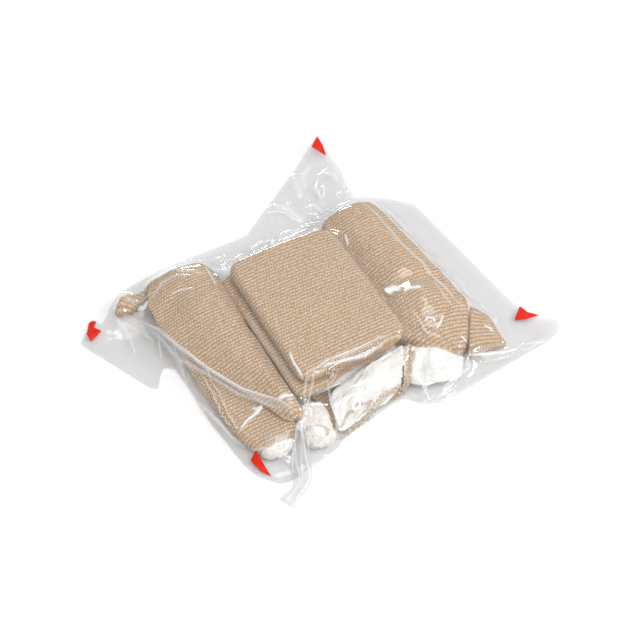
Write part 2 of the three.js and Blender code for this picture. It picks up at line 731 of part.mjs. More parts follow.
bandage.add(
  piece("wrap_block", blockGeometry(), KNIT, { z: blockFloor }),
  piece(
    "wrap_left_under_fold",
    columnGeometry(-1, LEFT_UNDER_WIDTH, LEFT_UNDER_HEIGHT, LEFT_UNDER_STATIONS),
    KNIT,
    { x: -LEFT_UNDER_INSET, z: floorOfPieces },
  ),
  piece(
    "wrap_left_fold",
    columnGeometry(-1, LEFT_FOLD_WIDTH, LEFT_FOLD_HEIGHT, LEFT_FOLD_STATIONS),
    KNIT,
    { z: leftFoldFloor },
  ),
  piece(
    "wrap_right_fold",
    columnGeometry(1, RIGHT_FOLD_WIDTH, RIGHT_FOLD_HEIGHT, RIGHT_FOLD_STATIONS),
    KNIT,
    { z: floorOfPieces },
  ),
  piece(
    "wrap_right_flap",
    frontPieceGeometry(FRONT_PLANS.rightFlap, RIGHT_FLAP_HEIGHT, 3.4, 16),
    KNIT,
    { z: floorOfPieces },
  ),
  piece("wrap_base_layer", baseLayerGeometry(), KNIT, { z: floorOfPieces }),
  piece("wrap_divider_edge", frontPieceGeometry(FRONT_PLANS.divider, LOBE_HEIGHT, 2.6, 10), KNIT, {
    z: lobeFloor,
  }),
  piece("wrap_twisted_tail", tailGeometry(), KNIT, tailStart),
  piece("absorbent_pad", pillowGeometry(PAD_WIDTH, PAD_LENGTH, PAD_HEIGHT), GAUZE, {
    y: padFront,
    z: padFloor,
  }),
  piece("pad_left_lobe", frontPieceGeometry(FRONT_PLANS.leftLobe, LOBE_HEIGHT, 3.2, 20), GAUZE, {
    z: lobeFloor,
  }),
  piece("pad_right_lobe", frontPieceGeometry(FRONT_PLANS.rightLobe, LOBE_HEIGHT, 3, 20), GAUZE, {
    z: lobeFloor,
  }),
  piece("pad_rolled_corner", frontPieceGeometry(FRONT_PLANS.padRoll, PAD_ROLL_HEIGHT, 2.5, 20), GAUZE, {
    z: floorOfPieces,
  }),
);

// The pouch: the lower sheet lies flat, and the upper one is drawn over the bandage.
const part = new THREE.Group();
part.name = "trauma_bandage";
part.add(bandage);
part.updateMatrixWorld(true);

const contents = new HeightMap(POUCH_LENGTH);
for (const mesh of bandage.children) contents.cover(mesh);

const columnLines = gridLines(POUCH_LENGTH, BLOCK_WIDTH, COLUMN_CELLS);
const rowLines = gridLines(POUCH_WIDTH, BLOCK_LENGTH, ROW_CELLS);
const columnCells = columnLines.length - 1;
const rowCells = rowLines.length - 1;
const grid = sheetGrid();
const lowerHeights = grid.map((row) => row.map(({ floor }) => floor));
const upperHeights = drapedHeights(grid, contents);
const markHeights = upperHeights.map((row) => row.map((height) => height + FILM + PIECE_GAP));
const lowerFilm = plateGeometry(grid, sheetTriangles(), lowerHeights, FILM);
const upperFilm = plateGeometry(grid, sheetTriangles(), upperHeights, FILM);
const tip = sheetPoint(TIP_PLACE);

part.add(
  piece("pouch_lower_film", lowerFilm, CLEAR_FILM),
  piece("pouch_upper_film", upperFilm, CLEAR_FILM),
  piece("pouch_rolled_tip", curlGeometry(), CLEAR_FILM, { x: tip.x, y: tip.y, turn: TIP_TURN }),
);
for (const [name, { mark }] of Object.entries(CORNERS)) {
  const triangles = markTriangles(name.endsWith("Right"), name.startsWith("back"), mark);
  const printed = plateGeometry(grid, triangles, markHeights, MARK_PRINT);
  part.add(piece(`tear_mark_${name.replace(/[A-Z]/, (c) => `_${c.toLowerCase()}`)}`, printed, RED_PRINT));
}

// The origin is the middle of the part's own box, on the surface that it rests on.
const box = new THREE.Box3().setFromObject(part);
const middle = box.getCenter(new THREE.Vector3());
for (const child of part.children) child.position.sub(new THREE.Vector3(middle.x, middle.y, 0));

export default part;
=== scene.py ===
"""Looks of the emergency trauma bandage in its clear vacuum pouch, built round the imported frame.

Lengths in this file are millimetres, and become metres where a mesh or a lamp is made. The folded
bandage is worked out in its own frame: the block's centre is its origin, the folds run along Y, and it
is turned a little in the pouch. The pouch is worked out in the part's frame.
"""

import logging
import math
from dataclasses import dataclass, field
from enum import Enum
from functools import cache

import bpy
import numpy as np
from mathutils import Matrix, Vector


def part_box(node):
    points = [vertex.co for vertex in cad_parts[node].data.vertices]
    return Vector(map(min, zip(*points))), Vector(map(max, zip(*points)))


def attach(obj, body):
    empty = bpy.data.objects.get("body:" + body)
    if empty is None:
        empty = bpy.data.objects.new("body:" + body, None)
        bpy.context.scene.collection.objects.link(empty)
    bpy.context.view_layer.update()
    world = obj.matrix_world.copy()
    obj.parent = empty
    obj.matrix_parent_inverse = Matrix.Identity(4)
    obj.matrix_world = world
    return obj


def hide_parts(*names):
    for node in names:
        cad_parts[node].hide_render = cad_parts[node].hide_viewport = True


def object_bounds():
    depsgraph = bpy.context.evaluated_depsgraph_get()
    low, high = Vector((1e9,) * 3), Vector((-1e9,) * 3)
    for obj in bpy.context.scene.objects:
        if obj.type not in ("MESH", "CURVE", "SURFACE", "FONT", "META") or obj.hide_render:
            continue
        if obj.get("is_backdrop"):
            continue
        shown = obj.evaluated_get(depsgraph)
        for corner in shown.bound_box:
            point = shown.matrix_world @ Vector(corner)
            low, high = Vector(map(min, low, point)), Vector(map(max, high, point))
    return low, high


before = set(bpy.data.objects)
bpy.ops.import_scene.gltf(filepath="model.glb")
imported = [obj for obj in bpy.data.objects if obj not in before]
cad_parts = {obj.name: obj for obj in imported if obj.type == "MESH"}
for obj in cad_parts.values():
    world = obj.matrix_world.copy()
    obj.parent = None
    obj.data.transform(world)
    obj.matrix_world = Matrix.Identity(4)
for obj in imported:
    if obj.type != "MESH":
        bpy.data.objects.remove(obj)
CAD_BOUNDS = [list(corner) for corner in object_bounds()]

LOG = logging.getLogger("trauma_bandage")
MM = 0.001
BODY = "root"
RIB_PITCH = 1.86
STITCH_PITCH = 1.45
STITCH_LEAN = 0.3  # stitches that a row's height shifts its stitch by
BANDAGE_TURN = math.radians(-14.5)
MAP_ACROSS = (-95, 94.01)  # where the height map starts and ends along X
MAP_ALONG = (-93, 92.01)  # and along Y
NO_TOP, NO_LOW = -1.0, 99.0  # heights of the map where nothing is
FLOOR = 0.25  # height of the lower sheet where it lies flat
TARGET_OFFSET = (0.323, -3.847, 11.016)  # what the camera looks at, from the block's centre on the floor
START_HEIGHT = 26.0  # height that the upper sheet sinks from
SINK_ROUNDS = 260  # rounds of sinking on each grid
FAR = 1e9  # more than any distance on the map


class Slot(Enum):
    """The record's material slots."""

    KNIT = "knit"
    GAUZE = "gauze"
    FILM = "film"
    RED_PRINT = "red_print"


# --- Places ---


def node_box(name: str) -> tuple[np.ndarray, np.ndarray]:
    """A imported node's lowest and highest corner, in millimetres."""
    low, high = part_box(name)
    return np.array(low) / MM, np.array(high) / MM


def block_centre() -> np.ndarray:
    """The folded block's centre in plan, in millimetres."""
    low, high = node_box("wrap_block")
    return (low[:2] + high[:2]) / 2


def turned(x: np.ndarray, y: np.ndarray, angle: float) -> tuple[np.ndarray, np.ndarray]:
    """Plan coordinates turned against the clock by an angle in radians."""
    cosine, sine = np.cos(angle), np.sin(angle)
    return x * cosine - y * sine, x * sine + y * cosine


def to_part(points: np.ndarray) -> np.ndarray:
    """Turns and moves points from the bandage's frame into the part's frame.

    Args:
        points: Array whose last axis is x, y, z in the bandage's frame.

    Returns:
        The same points in the part's frame.
    """
    out = np.array(points, float)
    out[..., :2] = np.stack(turned(points[..., 0], points[..., 1], BANDAGE_TURN), -1) + block_centre()
    return out


def to_bandage(x: np.ndarray, y: np.ndarray) -> tuple[np.ndarray, np.ndarray]:
    """Plan coordinates of the part's frame as seen in the bandage's frame."""
    centre = block_centre()
    return turned(x - centre[0], y - centre[1], -BANDAGE_TURN)


# --- Meshes ---


@dataclass
class Skin:
    """Vertices and polygons of one mesh, before Blender gets it.

    Attributes:
        points: Vertices, in millimetres.
        corners: Vertex index of every polygon corner, one polygon after the other.
        starts: Where each polygon starts in corners.
        uv: Fabric coordinates of every polygon corner, in millimetres.
    """

    points: np.ndarray
    corners: np.ndarray
    starts: np.ndarray
    uv: np.ndarray

    def volume(self) -> float:
        """Six times the volume inside, by the sum over quads and caps of their fans' determinants."""
        sizes = np.diff(self.starts, append=len(self.corners))
        total = 0.0
        for size in np.unique(sizes):
            first = self.starts[sizes == size]
            ring = self.points[self.corners[first[:, None] + np.arange(size)]]
            for k in range(1, size - 1):
                cross = np.cross(ring[:, k], ring[:, k + 1])
                total += float(np.einsum("ij,ij->i", ring[:, 0], cross).sum())
        return total

    def flipped(self) -> "Skin":
        """The same skin with every polygon turned round."""
        sizes = np.diff(self.starts, append=len(self.corners))
        order = np.repeat(2 * self.starts + sizes - 1, sizes) - np.arange(len(self.corners))
        return Skin(self.points, self.corners[order], self.starts, self.uv[order])


def into_scene(name: str, data: bpy.types.ID) -> bpy.types.Object:
    """A new object in the scene that holds a mesh, a lamp or a camera."""
    holder = bpy.data.objects.new(name, data)
    bpy.context.scene.collection.objects.link(holder)
    return holder


def make_piece(name: str, skin: Skin, finish: bpy.types.Material) -> bpy.types.Object:
    """Makes one smooth piece from a skin, dresses it and lets it ride on the part.

    Args:
        name: The piece's name.
        skin: Its vertices and polygons.
        finish: Its material.

    Returns:
        The new object.
    """
    mesh = bpy.data.meshes.new(name)
    mesh.vertices.add(len(skin.points))
    mesh.loops.add(len(skin.corners))
    mesh.polygons.add(len(skin.starts))
    mesh.vertices.foreach_set("co", (skin.points * MM).astype(np.float32).ravel())
    mesh.polygons.foreach_set("loop_start", skin.starts.astype(np.int32))
    mesh.polygons.foreach_set("vertices", skin.corners.astype(np.int32))
    layer = mesh.uv_layers.new(name="fabric")
    layer.data.foreach_set("uv", skin.uv.astype(np.float32).ravel())
    mesh.update(calc_edges=True)
    mesh.polygons.foreach_set("use_smooth", np.ones(len(skin.starts), bool))
    mesh.materials.append(finish)
    piece = into_scene(name, mesh)
    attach(piece, BODY)
    LOG.info("%s: %d faces", name, len(skin.starts))
    return piece


def tube_skin(rings: np.ndarray, around: np.ndarray, along: np.ndarray) -> Skin:
    """A closed skin over rings of points, with a polygon over each end.

    Quads join each ring to the next, the last column to the first, and one polygon closes each end.

    Args:
        rings: Points, ring by ring, shape (rings, points, 3).
        around: Fabric coordinate round each ring, with one more column than there are points.
        along: Fabric coordinate along the piece, of the same shape.

    Returns:
        The skin, faces outward.
    """
    count, wide = rings.shape[:2]
    j, i = np.meshgrid(np.arange(count - 1), np.arange(wide), indexing="ij")
    nxt = (i + 1) % wide
    quads = np.stack([j * wide + i, j * wide + nxt, (j + 1) * wide + nxt, (j + 1) * wide + i], -1)
    held = np.stack([around, along], -1)
    uv = np.stack([held[j, i], held[j, i + 1], held[j + 1, i + 1], held[j + 1, i]], 2)
    first = np.arange(wide)[::-1]
    last = (count - 1) * wide + np.arange(wide)
    corners = np.concatenate([quads.ravel(), first, last])
    starts = np.append(np.arange(quads.size // 4) * 4, [quads.size, quads.size + wide])
    caps = np.concatenate([held[0, :wide][::-1], held[-1, :wide]])
    skin = Skin(rings.reshape(-1, 3), corners, starts, np.concatenate([uv.reshape(-1, 2), caps]))
    return skin if skin.volume() > 0 else skin.flipped()


def arc_lengths(rings: np.ndarray, middle: int) -> np.ndarray:
    """Length round each ring from the column called middle, with a last column for the closed ring."""
    closed = np.concatenate([rings, rings[:, :1]], axis=1)
    steps = np.linalg.norm(np.diff(closed, axis=1), axis=-1)
    lengths = np.concatenate([np.zeros((len(rings), 1)), np.cumsum(steps, axis=1)], axis=1)
    return lengths - lengths[:, middle : middle + 1]


def outward(rings: np.ndarray) -> np.ndarray:
    """Unit normals of a tube's points, away from each ring's middle.

    The cross product of the step round the ring and the step along the tube, turned outward.
    """
    across = np.roll(rings, -1, axis=1) - np.roll(rings, 1, axis=1)
    forth = np.gradient(rings, axis=0)
    normal = unit(np.cross(across, forth))
    away = rings - rings.mean(axis=1, keepdims=True)
    inwards = np.einsum("jik,jik->", normal, away) < 0
    return -normal if inwards else normal


def between(table: np.ndarray, row: np.ndarray, column: np.ndarray, down: object, over: object) -> np.ndarray:
    """A table read at whole rows and columns plus shares on to the next ones, joined linearly."""
    top = table[row, column] * (1 - over) + table[row, column + 1] * over
    low = table[row + 1, column] * (1 - over) + table[row + 1, column + 1] * over
    return top * (1 - down) + low * down


def smooth_noise(shape: tuple[int, int], cell: float, seed: int) -> np.ndarray:
    """Seeded noise from -1 to 1 that changes over about cell grid steps.

    Random numbers on a coarse grid, joined by smooth cubic steps in both directions.
    """
    coarse = np.random.default_rng(seed).uniform(-1, 1, [int(n / cell) + 3 for n in shape])
    (row, down), (column, over) = (divmod(np.arange(n) / cell, 1) for n in shape)
    down, over = (share * share * (3 - 2 * share) for share in (down, over))
    return between(coarse, row.astype(int)[:, None], column.astype(int), down[:, None], over)


def blurred(field_: np.ndarray, radius: int, times: int = 2) -> np.ndarray:
    """A grid of numbers averaged over a window of 2 radius + 1 steps, some times over."""
    out = np.array(field_, float)
    size = 2 * radius + 1
    for _ in range(times):
        for axis in (0, 1):
            pad = [(0, 0), (0, 0)]
            pad[axis] = (radius + 1, radius)
            total = np.cumsum(np.pad(out, pad, mode="edge"), axis=axis)
            if axis == 0:
                out = (total[size:] - total[:-size]) / size
            else:
                out = (total[:, size:] - total[:, :-size]) / size
    return out


def path_lengths(path: np.ndarray) -> np.ndarray:
    """Length along a path at each of its points."""
    return np.append(0, np.cumsum(np.linalg.norm(np.diff(path, axis=0), axis=1)))


def sampled(path: np.ndarray, length: np.ndarray, at: np.ndarray) -> np.ndarray:
    """A path's columns at some lengths along it, joined linearly."""
    return np.stack([np.interp(at, length, column) for column in path.T], 1)


def bell(size: int) -> np.ndarray:
    """Weights of a bell-shaped moving average."""
    return np.hanning(size) / np.hanning(size).sum()


def eased(path: np.ndarray, reach: int) -> np.ndarray:
    """A path's columns smoothed by a bell of 2 reach + 1 steps, its ends kept."""
    padded = np.pad(path, ((reach, reach), (0, 0)), mode="reflect", reflect_type="odd")
    return np.stack([np.convolve(column, bell(2 * reach + 1), mode="valid") for column in padded.T], 1)


def unit(vectors: np.ndarray) -> np.ndarray:
    """Vectors scaled to length 1."""
    return vectors / (np.linalg.norm(vectors, axis=-1, keepdims=True) + 1e-9)


def axes_along(line: np.ndarray) -> tuple[np.ndarray, np.ndarray]:
    """Level and upward unit vectors square to a line at each of its points."""
    tangent = unit(np.gradient(line, axis=0))
    side = unit(np.cross(tangent, [0, 0, 1.0]))
    return side, np.cross(side, tangent)


# --- Finishes ---


class NodeBench:
    """Adds shader nodes to one tree, each with its inputs in place."""

    def __init__(self, tree: bpy.types.NodeTree) -> None:
        """Starts on an empty tree."""
        self.tree = tree

    def add(self, kind: str, inputs: dict | None = None, **settings: object) -> bpy.types.Node:
        """Adds a node.

        Args:
            kind: Blender's name of the node type.
            inputs: Value or socket for each input, by the input's name or number.
            **settings: The node's own properties.

        Returns:
            The node.
        """
        node = self.tree.nodes.new(kind)
        for key, value in settings.items():
            setattr(node, key, value)
        for key, value in (inputs or {}).items():
            if isinstance(value, bpy.types.NodeSocket):
                self.tree.links.new(value, node.inputs[key])
            else:
                node.inputs[key].default_value = value
        return node

    def math(self, operation: str, *values: object, clamp: bool = False) -> bpy.types.NodeSocket:
        """The result of one Math node on up to three values or sockets."""
        inputs = dict(enumerate(values))
        return self.add("ShaderNodeMath", inputs, operation=operation, use_clamp=clamp).outputs[0]

    def span(self, value: object, low: float, high: float, to: tuple = (0, 1)) -> bpy.types.NodeSocket:
        """A value eased from low..high onto the range to."""
        inputs = {"Value": value, "From Min": low, "From Max": high, "To Min": to[0], "To Max": to[1]}
        return self.add("ShaderNodeMapRange", inputs, interpolation_type="SMOOTHSTEP").outputs["Result"]

    def noise(
        self, vector: object, scale: object, detail: float = 2, roughness: float = 0.5
    ) -> bpy.types.NodeSocket:
        """A noise texture's value over a vector, at one scale or at one scale for each axis."""
        if isinstance(scale, tuple):
            vector = self.add("ShaderNodeMapping", {"Vector": vector, "Scale": scale}).outputs["Vector"]
            scale = 1.0
        inputs = {"Vector": vector, "Scale": scale, "Detail": detail, "Roughness": roughness}
        return self.add("ShaderNodeTexNoise", inputs).outputs["Fac"]

    def place(self) -> bpy.types.NodeSocket:
        """The shaded point in the piece's own coordinates, in metres."""
        return self.add("ShaderNodeTexCoord").outputs["Object"]

    def mix(self, share: object, first: object, second: object) -> bpy.types.NodeSocket:
        """A colour mixed from two by a share."""
        return self.add("ShaderNodeMix", {0: share, 6: first, 7: second}, data_type="RGBA").outputs[2]

    def bump(self, height: object, distance: float, strength: float = 0.9) -> bpy.types.NodeSocket:
        """Normals tilted by a height that stands for up to a distance in metres."""
        inputs = {"Strength": strength, "Distance": distance, "Height": height}
        return self.add("ShaderNodeBump", inputs).outputs["Normal"]

    def principled(self, colour: object, roughness: object, others: dict) -> bpy.types.NodeSocket:
        """A Principled shader with its colour, its roughness and other inputs."""
        inputs = {"Base Color": colour, "Roughness": roughness, **others}
        return self.add("ShaderNodeBsdfPrincipled", inputs).outputs[0]

    def surface(self, shader: bpy.types.NodeSocket) -> None:
        """Makes a shader the material's surface."""
        self.add("ShaderNodeOutputMaterial", {"Surface": shader}).is_active_output = True

    def give(self, **results: bpy.types.NodeSocket) -> bpy.types.NodeTree:
        """Ends a group's tree with its named results and returns the tree."""
        for key in results:
            self.tree.interface.new_socket(key, in_out="OUTPUT", socket_type="NodeSocketFloat")
        self.add("NodeGroupOutput", results)
        return self.tree


def new_group(name: str, inputs: dict[str, float | None]) -> tuple[NodeBench, object]:
    """Starts a node group.

    Args:
        name: The group's name.
        inputs: Default of each number that it takes, or None for a vector.

    Returns:
        The group's bench and the sockets of its inputs.
    """
    tree = bpy.data.node_groups.new(name, "ShaderNodeTree")
    for key, value in inputs.items():
        kind = "NodeSocketVector" if value is None else "NodeSocketFloat"
        socket = tree.interface.new_socket(key, in_out="INPUT", socket_type=kind)
        if value is not None:
            socket.default_value = value
    bench = NodeBench(tree)
    return bench, bench.add("NodeGroupInput").outputs


def new_material(name: str) -> tuple[bpy.types.Material, NodeBench]:
    """Starts a material, and gives it and its bench."""
    material = bpy.data.materials.new(name)
    material.use_nodes = True
    material.node_tree.nodes.clear()
    return material, NodeBench(material.node_tree)


@cache
def knit_group() -> bpy.types.NodeTree:
    """Node group for the elastic knit: which yarn shows, and how high it stands.

    Rows run across the fabric at the rib pitch. Pale stitches sit along the middle of each row, and
    every second row is moved by half a stitch. Tan yarn shows everywhere else.
    """
    inputs = {"Fabric": None, "Rib Pitch": RIB_PITCH, "Stitch Pitch": STITCH_PITCH, "Wander": 0.5}
    bench, given = new_group("KnitStitches", inputs)
    uv = given["Fabric"]
    wander = bench.math("SUBTRACT", bench.noise(uv, 0.16), 0.5)
    fine = bench.math("SUBTRACT", bench.noise(uv, 0.7), 0.5)
    parts = bench.add("ShaderNodeSeparateXYZ", {0: uv}).outputs
    v = bench.math("MULTIPLY_ADD", wander, given["Wander"], parts[1])
    rows = bench.math("DIVIDE", bench.math("MULTIPLY_ADD", fine, 0.7, v), given["Rib Pitch"])
    row = bench.math("ROUND", rows)
    part = bench.math("SUBTRACT", rows, row)
    middle = bench.math("COSINE", bench.math("MULTIPLY", part, 2 * math.pi))
    u = bench.math("MULTIPLY_ADD", fine, 0.9, parts[0])
    lean = bench.math("MULTIPLY_ADD", part, STITCH_LEAN, bench.math("DIVIDE", u, given["Stitch Pitch"]))
    stagger = bench.math("MULTIPLY_ADD", row, 0.5, lean)
    stitch = bench.math("COSINE", bench.math("MULTIPLY", stagger, 2 * math.pi))
    thread = bench.noise(uv, (1.3, 1.1, 1), 3, 0.6)
    level = bench.math("MULTIPLY_ADD", stitch, 0.26, bench.math("MULTIPLY", middle, 0.5))
    level = bench.math("MULTIPLY_ADD", bench.math("SUBTRACT", thread, 0.5), 5.0, level)
    height = bench.math("MULTIPLY_ADD", middle, -0.5, bench.math("MULTIPLY", stitch, 0.3))
    height = bench.math("MULTIPLY_ADD", thread, 0.5, height)
    shade = bench.math("MULTIPLY_ADD", bench.noise(uv, 0.05, 3), 0.6, bench.noise(uv, 0.4, 3))
    return bench.give(Yarn=bench.span(level, 0.8, -0.3), Height=height, Shade=bench.span(shade, 0.45, 1.15))


@cache
def crumple_group() -> bpy.types.NodeTree:
    """Node group for thin film: a height of soft dents and long pulls."""
    bench, given = new_group("FilmCrumple", {"Place": None, "Dent": 1.0})
    dents = bench.math("MULTIPLY", bench.noise(given["Place"], 90, 2, 0.45), given["Dent"])
    pulls = bench.noise(given["Place"], (60, 210, 60), 1, 0.4)
    return bench.give(Height=bench.math("MULTIPLY_ADD", pulls, 0.5, dents))


@dataclass(frozen=True)
class KnitFinish:
    """The wrap's tan elastic knit with its pale second yarn."""

    name: str = "knit_elastic"
    tan: tuple = (0.565, 0.338, 0.158, 1)
    deep: tuple = (0.48, 0.27, 0.105, 1)
    pale: tuple = (0.69, 0.65, 0.575, 1)
    roughness: float = 0.86
    sheen: float = 0.12
    relief: float = 0.00016

    def build(self) -> bpy.types.Material:
        """Makes the material: two yarns by the stitch group, shaded by slow noise, with their relief."""
        material, bench = new_material(self.name)
        uv = bench.add("ShaderNodeUVMap", uv_map="fabric").outputs["UV"]
        knit = bench.add("ShaderNodeGroup", {"Fabric": uv}, node_tree=knit_group())
        tan = bench.mix(knit.outputs["Shade"], self.deep, self.tan)
        colour = bench.mix(knit.outputs["Yarn"], self.pale, tan)
        normal = bench.bump(knit.outputs["Height"], self.relief)
        others = {"Normal": normal, "Sheen Weight": self.sheen, "Specular IOR Level": 0.25}
        bench.surface(bench.principled(colour, self.roughness, others))
        return material


@dataclass(frozen=True)
class GauzeFinish:
    """The pad's white fibres, with a little of the tan yarn's lint on them."""

    name: str = "gauze_fibres"
    white: tuple = (0.95, 0.94, 0.92, 1)
    # the shadow colour is painted shade, laid where the fibres' hollows are
    shadow: tuple = (0.80, 0.78, 0.74, 1)
    speck: tuple = (0.66, 0.43, 0.24, 1)
    specks: float = 0.0
    relief: float = 0.0005

    def build(self) -> bpy.types.Material:
        """Makes the material: long soft fibres over finer ones, painted shade where they and the slow hollows
        are low, and specks of lint where it has any.
        """
        material, bench = new_material(self.name)
        place = bench.place()
        short = bench.noise(place, (1500, 800, 1500), 3, 0.6)
        fibres = bench.math("MULTIPLY_ADD", short, 0.5, bench.noise(place, (260, 900, 700), 4, 0.6))
        hollows = bench.noise(place, (90, 130, 110), 3, 0.55)
        level = bench.math("MULTIPLY_ADD", hollows, 0.9, bench.math("MULTIPLY", fibres, 0.6))
        # painted shade: the colour goes towards the shadow colour where the hollows and fibres are low, where
        # the bump sinks too
        colour = bench.mix(bench.span(level, 0.62, 0.98), self.shadow, self.white)
        if self.specks:
            edge = 0.66 - 0.10 * self.specks
            grains = bench.span(bench.noise(place, 1500, 3, 0.6), edge, edge + 0.12)
            colour = bench.mix(grains, colour, self.speck)
        normal = bench.bump(bench.math("MULTIPLY_ADD", hollows, 1.5, fibres), self.relief)
        others = {"Normal": normal, "Sheen Weight": 0.1, "Specular IOR Level": 0.1}
        bench.surface(bench.principled(colour, 0.95, others))
        return material


@dataclass(frozen=True)
class FilmFinish:
    """The pouch's clear glossy film, whiter where it is folded onto itself and where highlights are painted
    on as white lines.
    """

    name: str = "film_clear"
    tint: tuple = (0.942, 0.942, 0.943, 1)
    haze: float = 0.035
    # how white the pleat attribute makes the film: doubled film, and painted highlights
    pleat_and_glint: float = 0.6
    gloss: float = 1.5
    dent: float = 1.0
    relief: float = 0.0004

    def build(self) -> bpy.types.Material:
        """Makes the material: mostly see-through, a faint white haze, and a mirror at grazing angles.

        The haze grows with the mesh's pleat attribute, which marks the film's doubled lines and its painted
        highlights: diffuse white laid along lines in place of glints.
        The mirror's share grows with the fifth power of the facing value, alike on both sides of the film.
        """
        material, bench = new_material(self.name)
        inputs = {"Place": bench.place(), "Dent": self.dent}
        crumple = bench.add("ShaderNodeGroup", inputs, node_tree=crumple_group())
        normal = bench.bump(crumple.outputs["Height"], self.relief, 0.35)
        # painted highlights: the attribute turns the film diffuse white along its glint lines, as it does
        # along its doubled lines
        lines = bench.add("ShaderNodeAttribute", attribute_name="pleat_and_glint").outputs["Fac"]
        haze_and_glint = bench.math("MULTIPLY_ADD", lines, self.pleat_and_glint, self.haze, clamp=True)
        clear = bench.add("ShaderNodeBsdfTransparent", {"Color": self.tint}).outputs[0]
        white = bench.add("ShaderNodeBsdfDiffuse", {"Color": (0.95, 0.955, 0.96, 1)}).outputs[0]
        body = bench.add("ShaderNodeMixShader", {0: haze_and_glint, 1: clear, 2: white}).outputs[0]
        smears = bench.span(bench.noise(bench.place(), 300), 0.3, 0.7, (0.04, 0.1))
        mirror = bench.principled((0.97, 0.975, 0.98, 1), smears, {"Metallic": 1.0, "Normal": normal})
        angle = bench.add("ShaderNodeLayerWeight", {"Blend": 0.5, "Normal": normal}).outputs["Facing"]
        grazing = bench.math("POWER", angle, 5.0)
        share = bench.math("MULTIPLY_ADD", grazing, 0.9 * self.gloss, 0.045 * self.gloss, clamp=True)
        bench.surface(bench.add("ShaderNodeMixShader", {0: share, 1: body, 2: mirror}).outputs[0])
        return material


@dataclass(frozen=True)
class RedPrintFinish:
    """The red ink of the tear marks."""

    name: str = "red_ink"
    red: tuple = (0.66, 0.02, 0.006, 1)
    thin: tuple = (0.74, 0.035, 0.014, 1)

    def build(self) -> bpy.types.Material:
        """Makes the material: red ink, a little thinner in cloudy patches, under the film's gloss."""
        material, bench = new_material(self.name)
        place = bench.place()
        colour = bench.mix(bench.span(bench.noise(place, 260, 3), 0.35, 0.7), self.red, self.thin)
        roughness = bench.span(bench.noise(place, 700), 0.3, 0.7, (0.32, 0.45))
        bench.surface(bench.principled(colour, roughness, {"Specular IOR Level": 0.2}))
        return material


# --- The folded wrap ---


@dataclass
class SectionTemplate:
    """A rounded section as shares: straight runs between four rounded corners.

    Attributes:
        over: Points on the top run.
        round_: Points on each corner.
        side: Points on each side run.
        under: Points on the bottom run.
    """

    over: int = 120
    round_: int = 10
    side: int = 9
    under: int = 26

    def shares(self) -> tuple[np.ndarray, np.ndarray, np.ndarray, int]:
        """Place of each point's corner circle and its angle.

        From the bottom's middle round by the right side, the top and the left side: X and Z are the
        place of the circle's centre from -1 to 1, and the angle turns once round.

        Returns:
            X, Z, angle, and the number of the point in the middle of the top.
        """
        half = self.under // 2
        runs = [
            (np.linspace(0, 1, half, endpoint=False), -1, -90),
            (1, -1, np.linspace(-90, 0, self.round_, endpoint=False)),
            (1, np.linspace(-1, 1, self.side, endpoint=False), 0),
            (1, 1, np.linspace(0, 90, self.round_, endpoint=False)),
            (np.linspace(1, -1, self.over, endpoint=False), 1, 90),
            (-1, 1, np.linspace(90, 180, self.round_, endpoint=False)),
            (-1, np.linspace(1, -1, self.side, endpoint=False), 180),
            (-1, -1, np.linspace(180, 270, self.round_, endpoint=False)),
            (np.linspace(-1, 0, self.under - half, endpoint=False), -1, 270),
        ]
        columns = []
        for run in runs:
            size = max(np.size(part) for part in run)
            columns.append(np.stack([np.broadcast_to(part, size).astype(float) for part in run]))
        x, z, angle = np.concatenate(columns, axis=1)
        middle = half + 2 * self.round_ + self.side + self.over // 2
        return x, z, np.radians(angle), middle


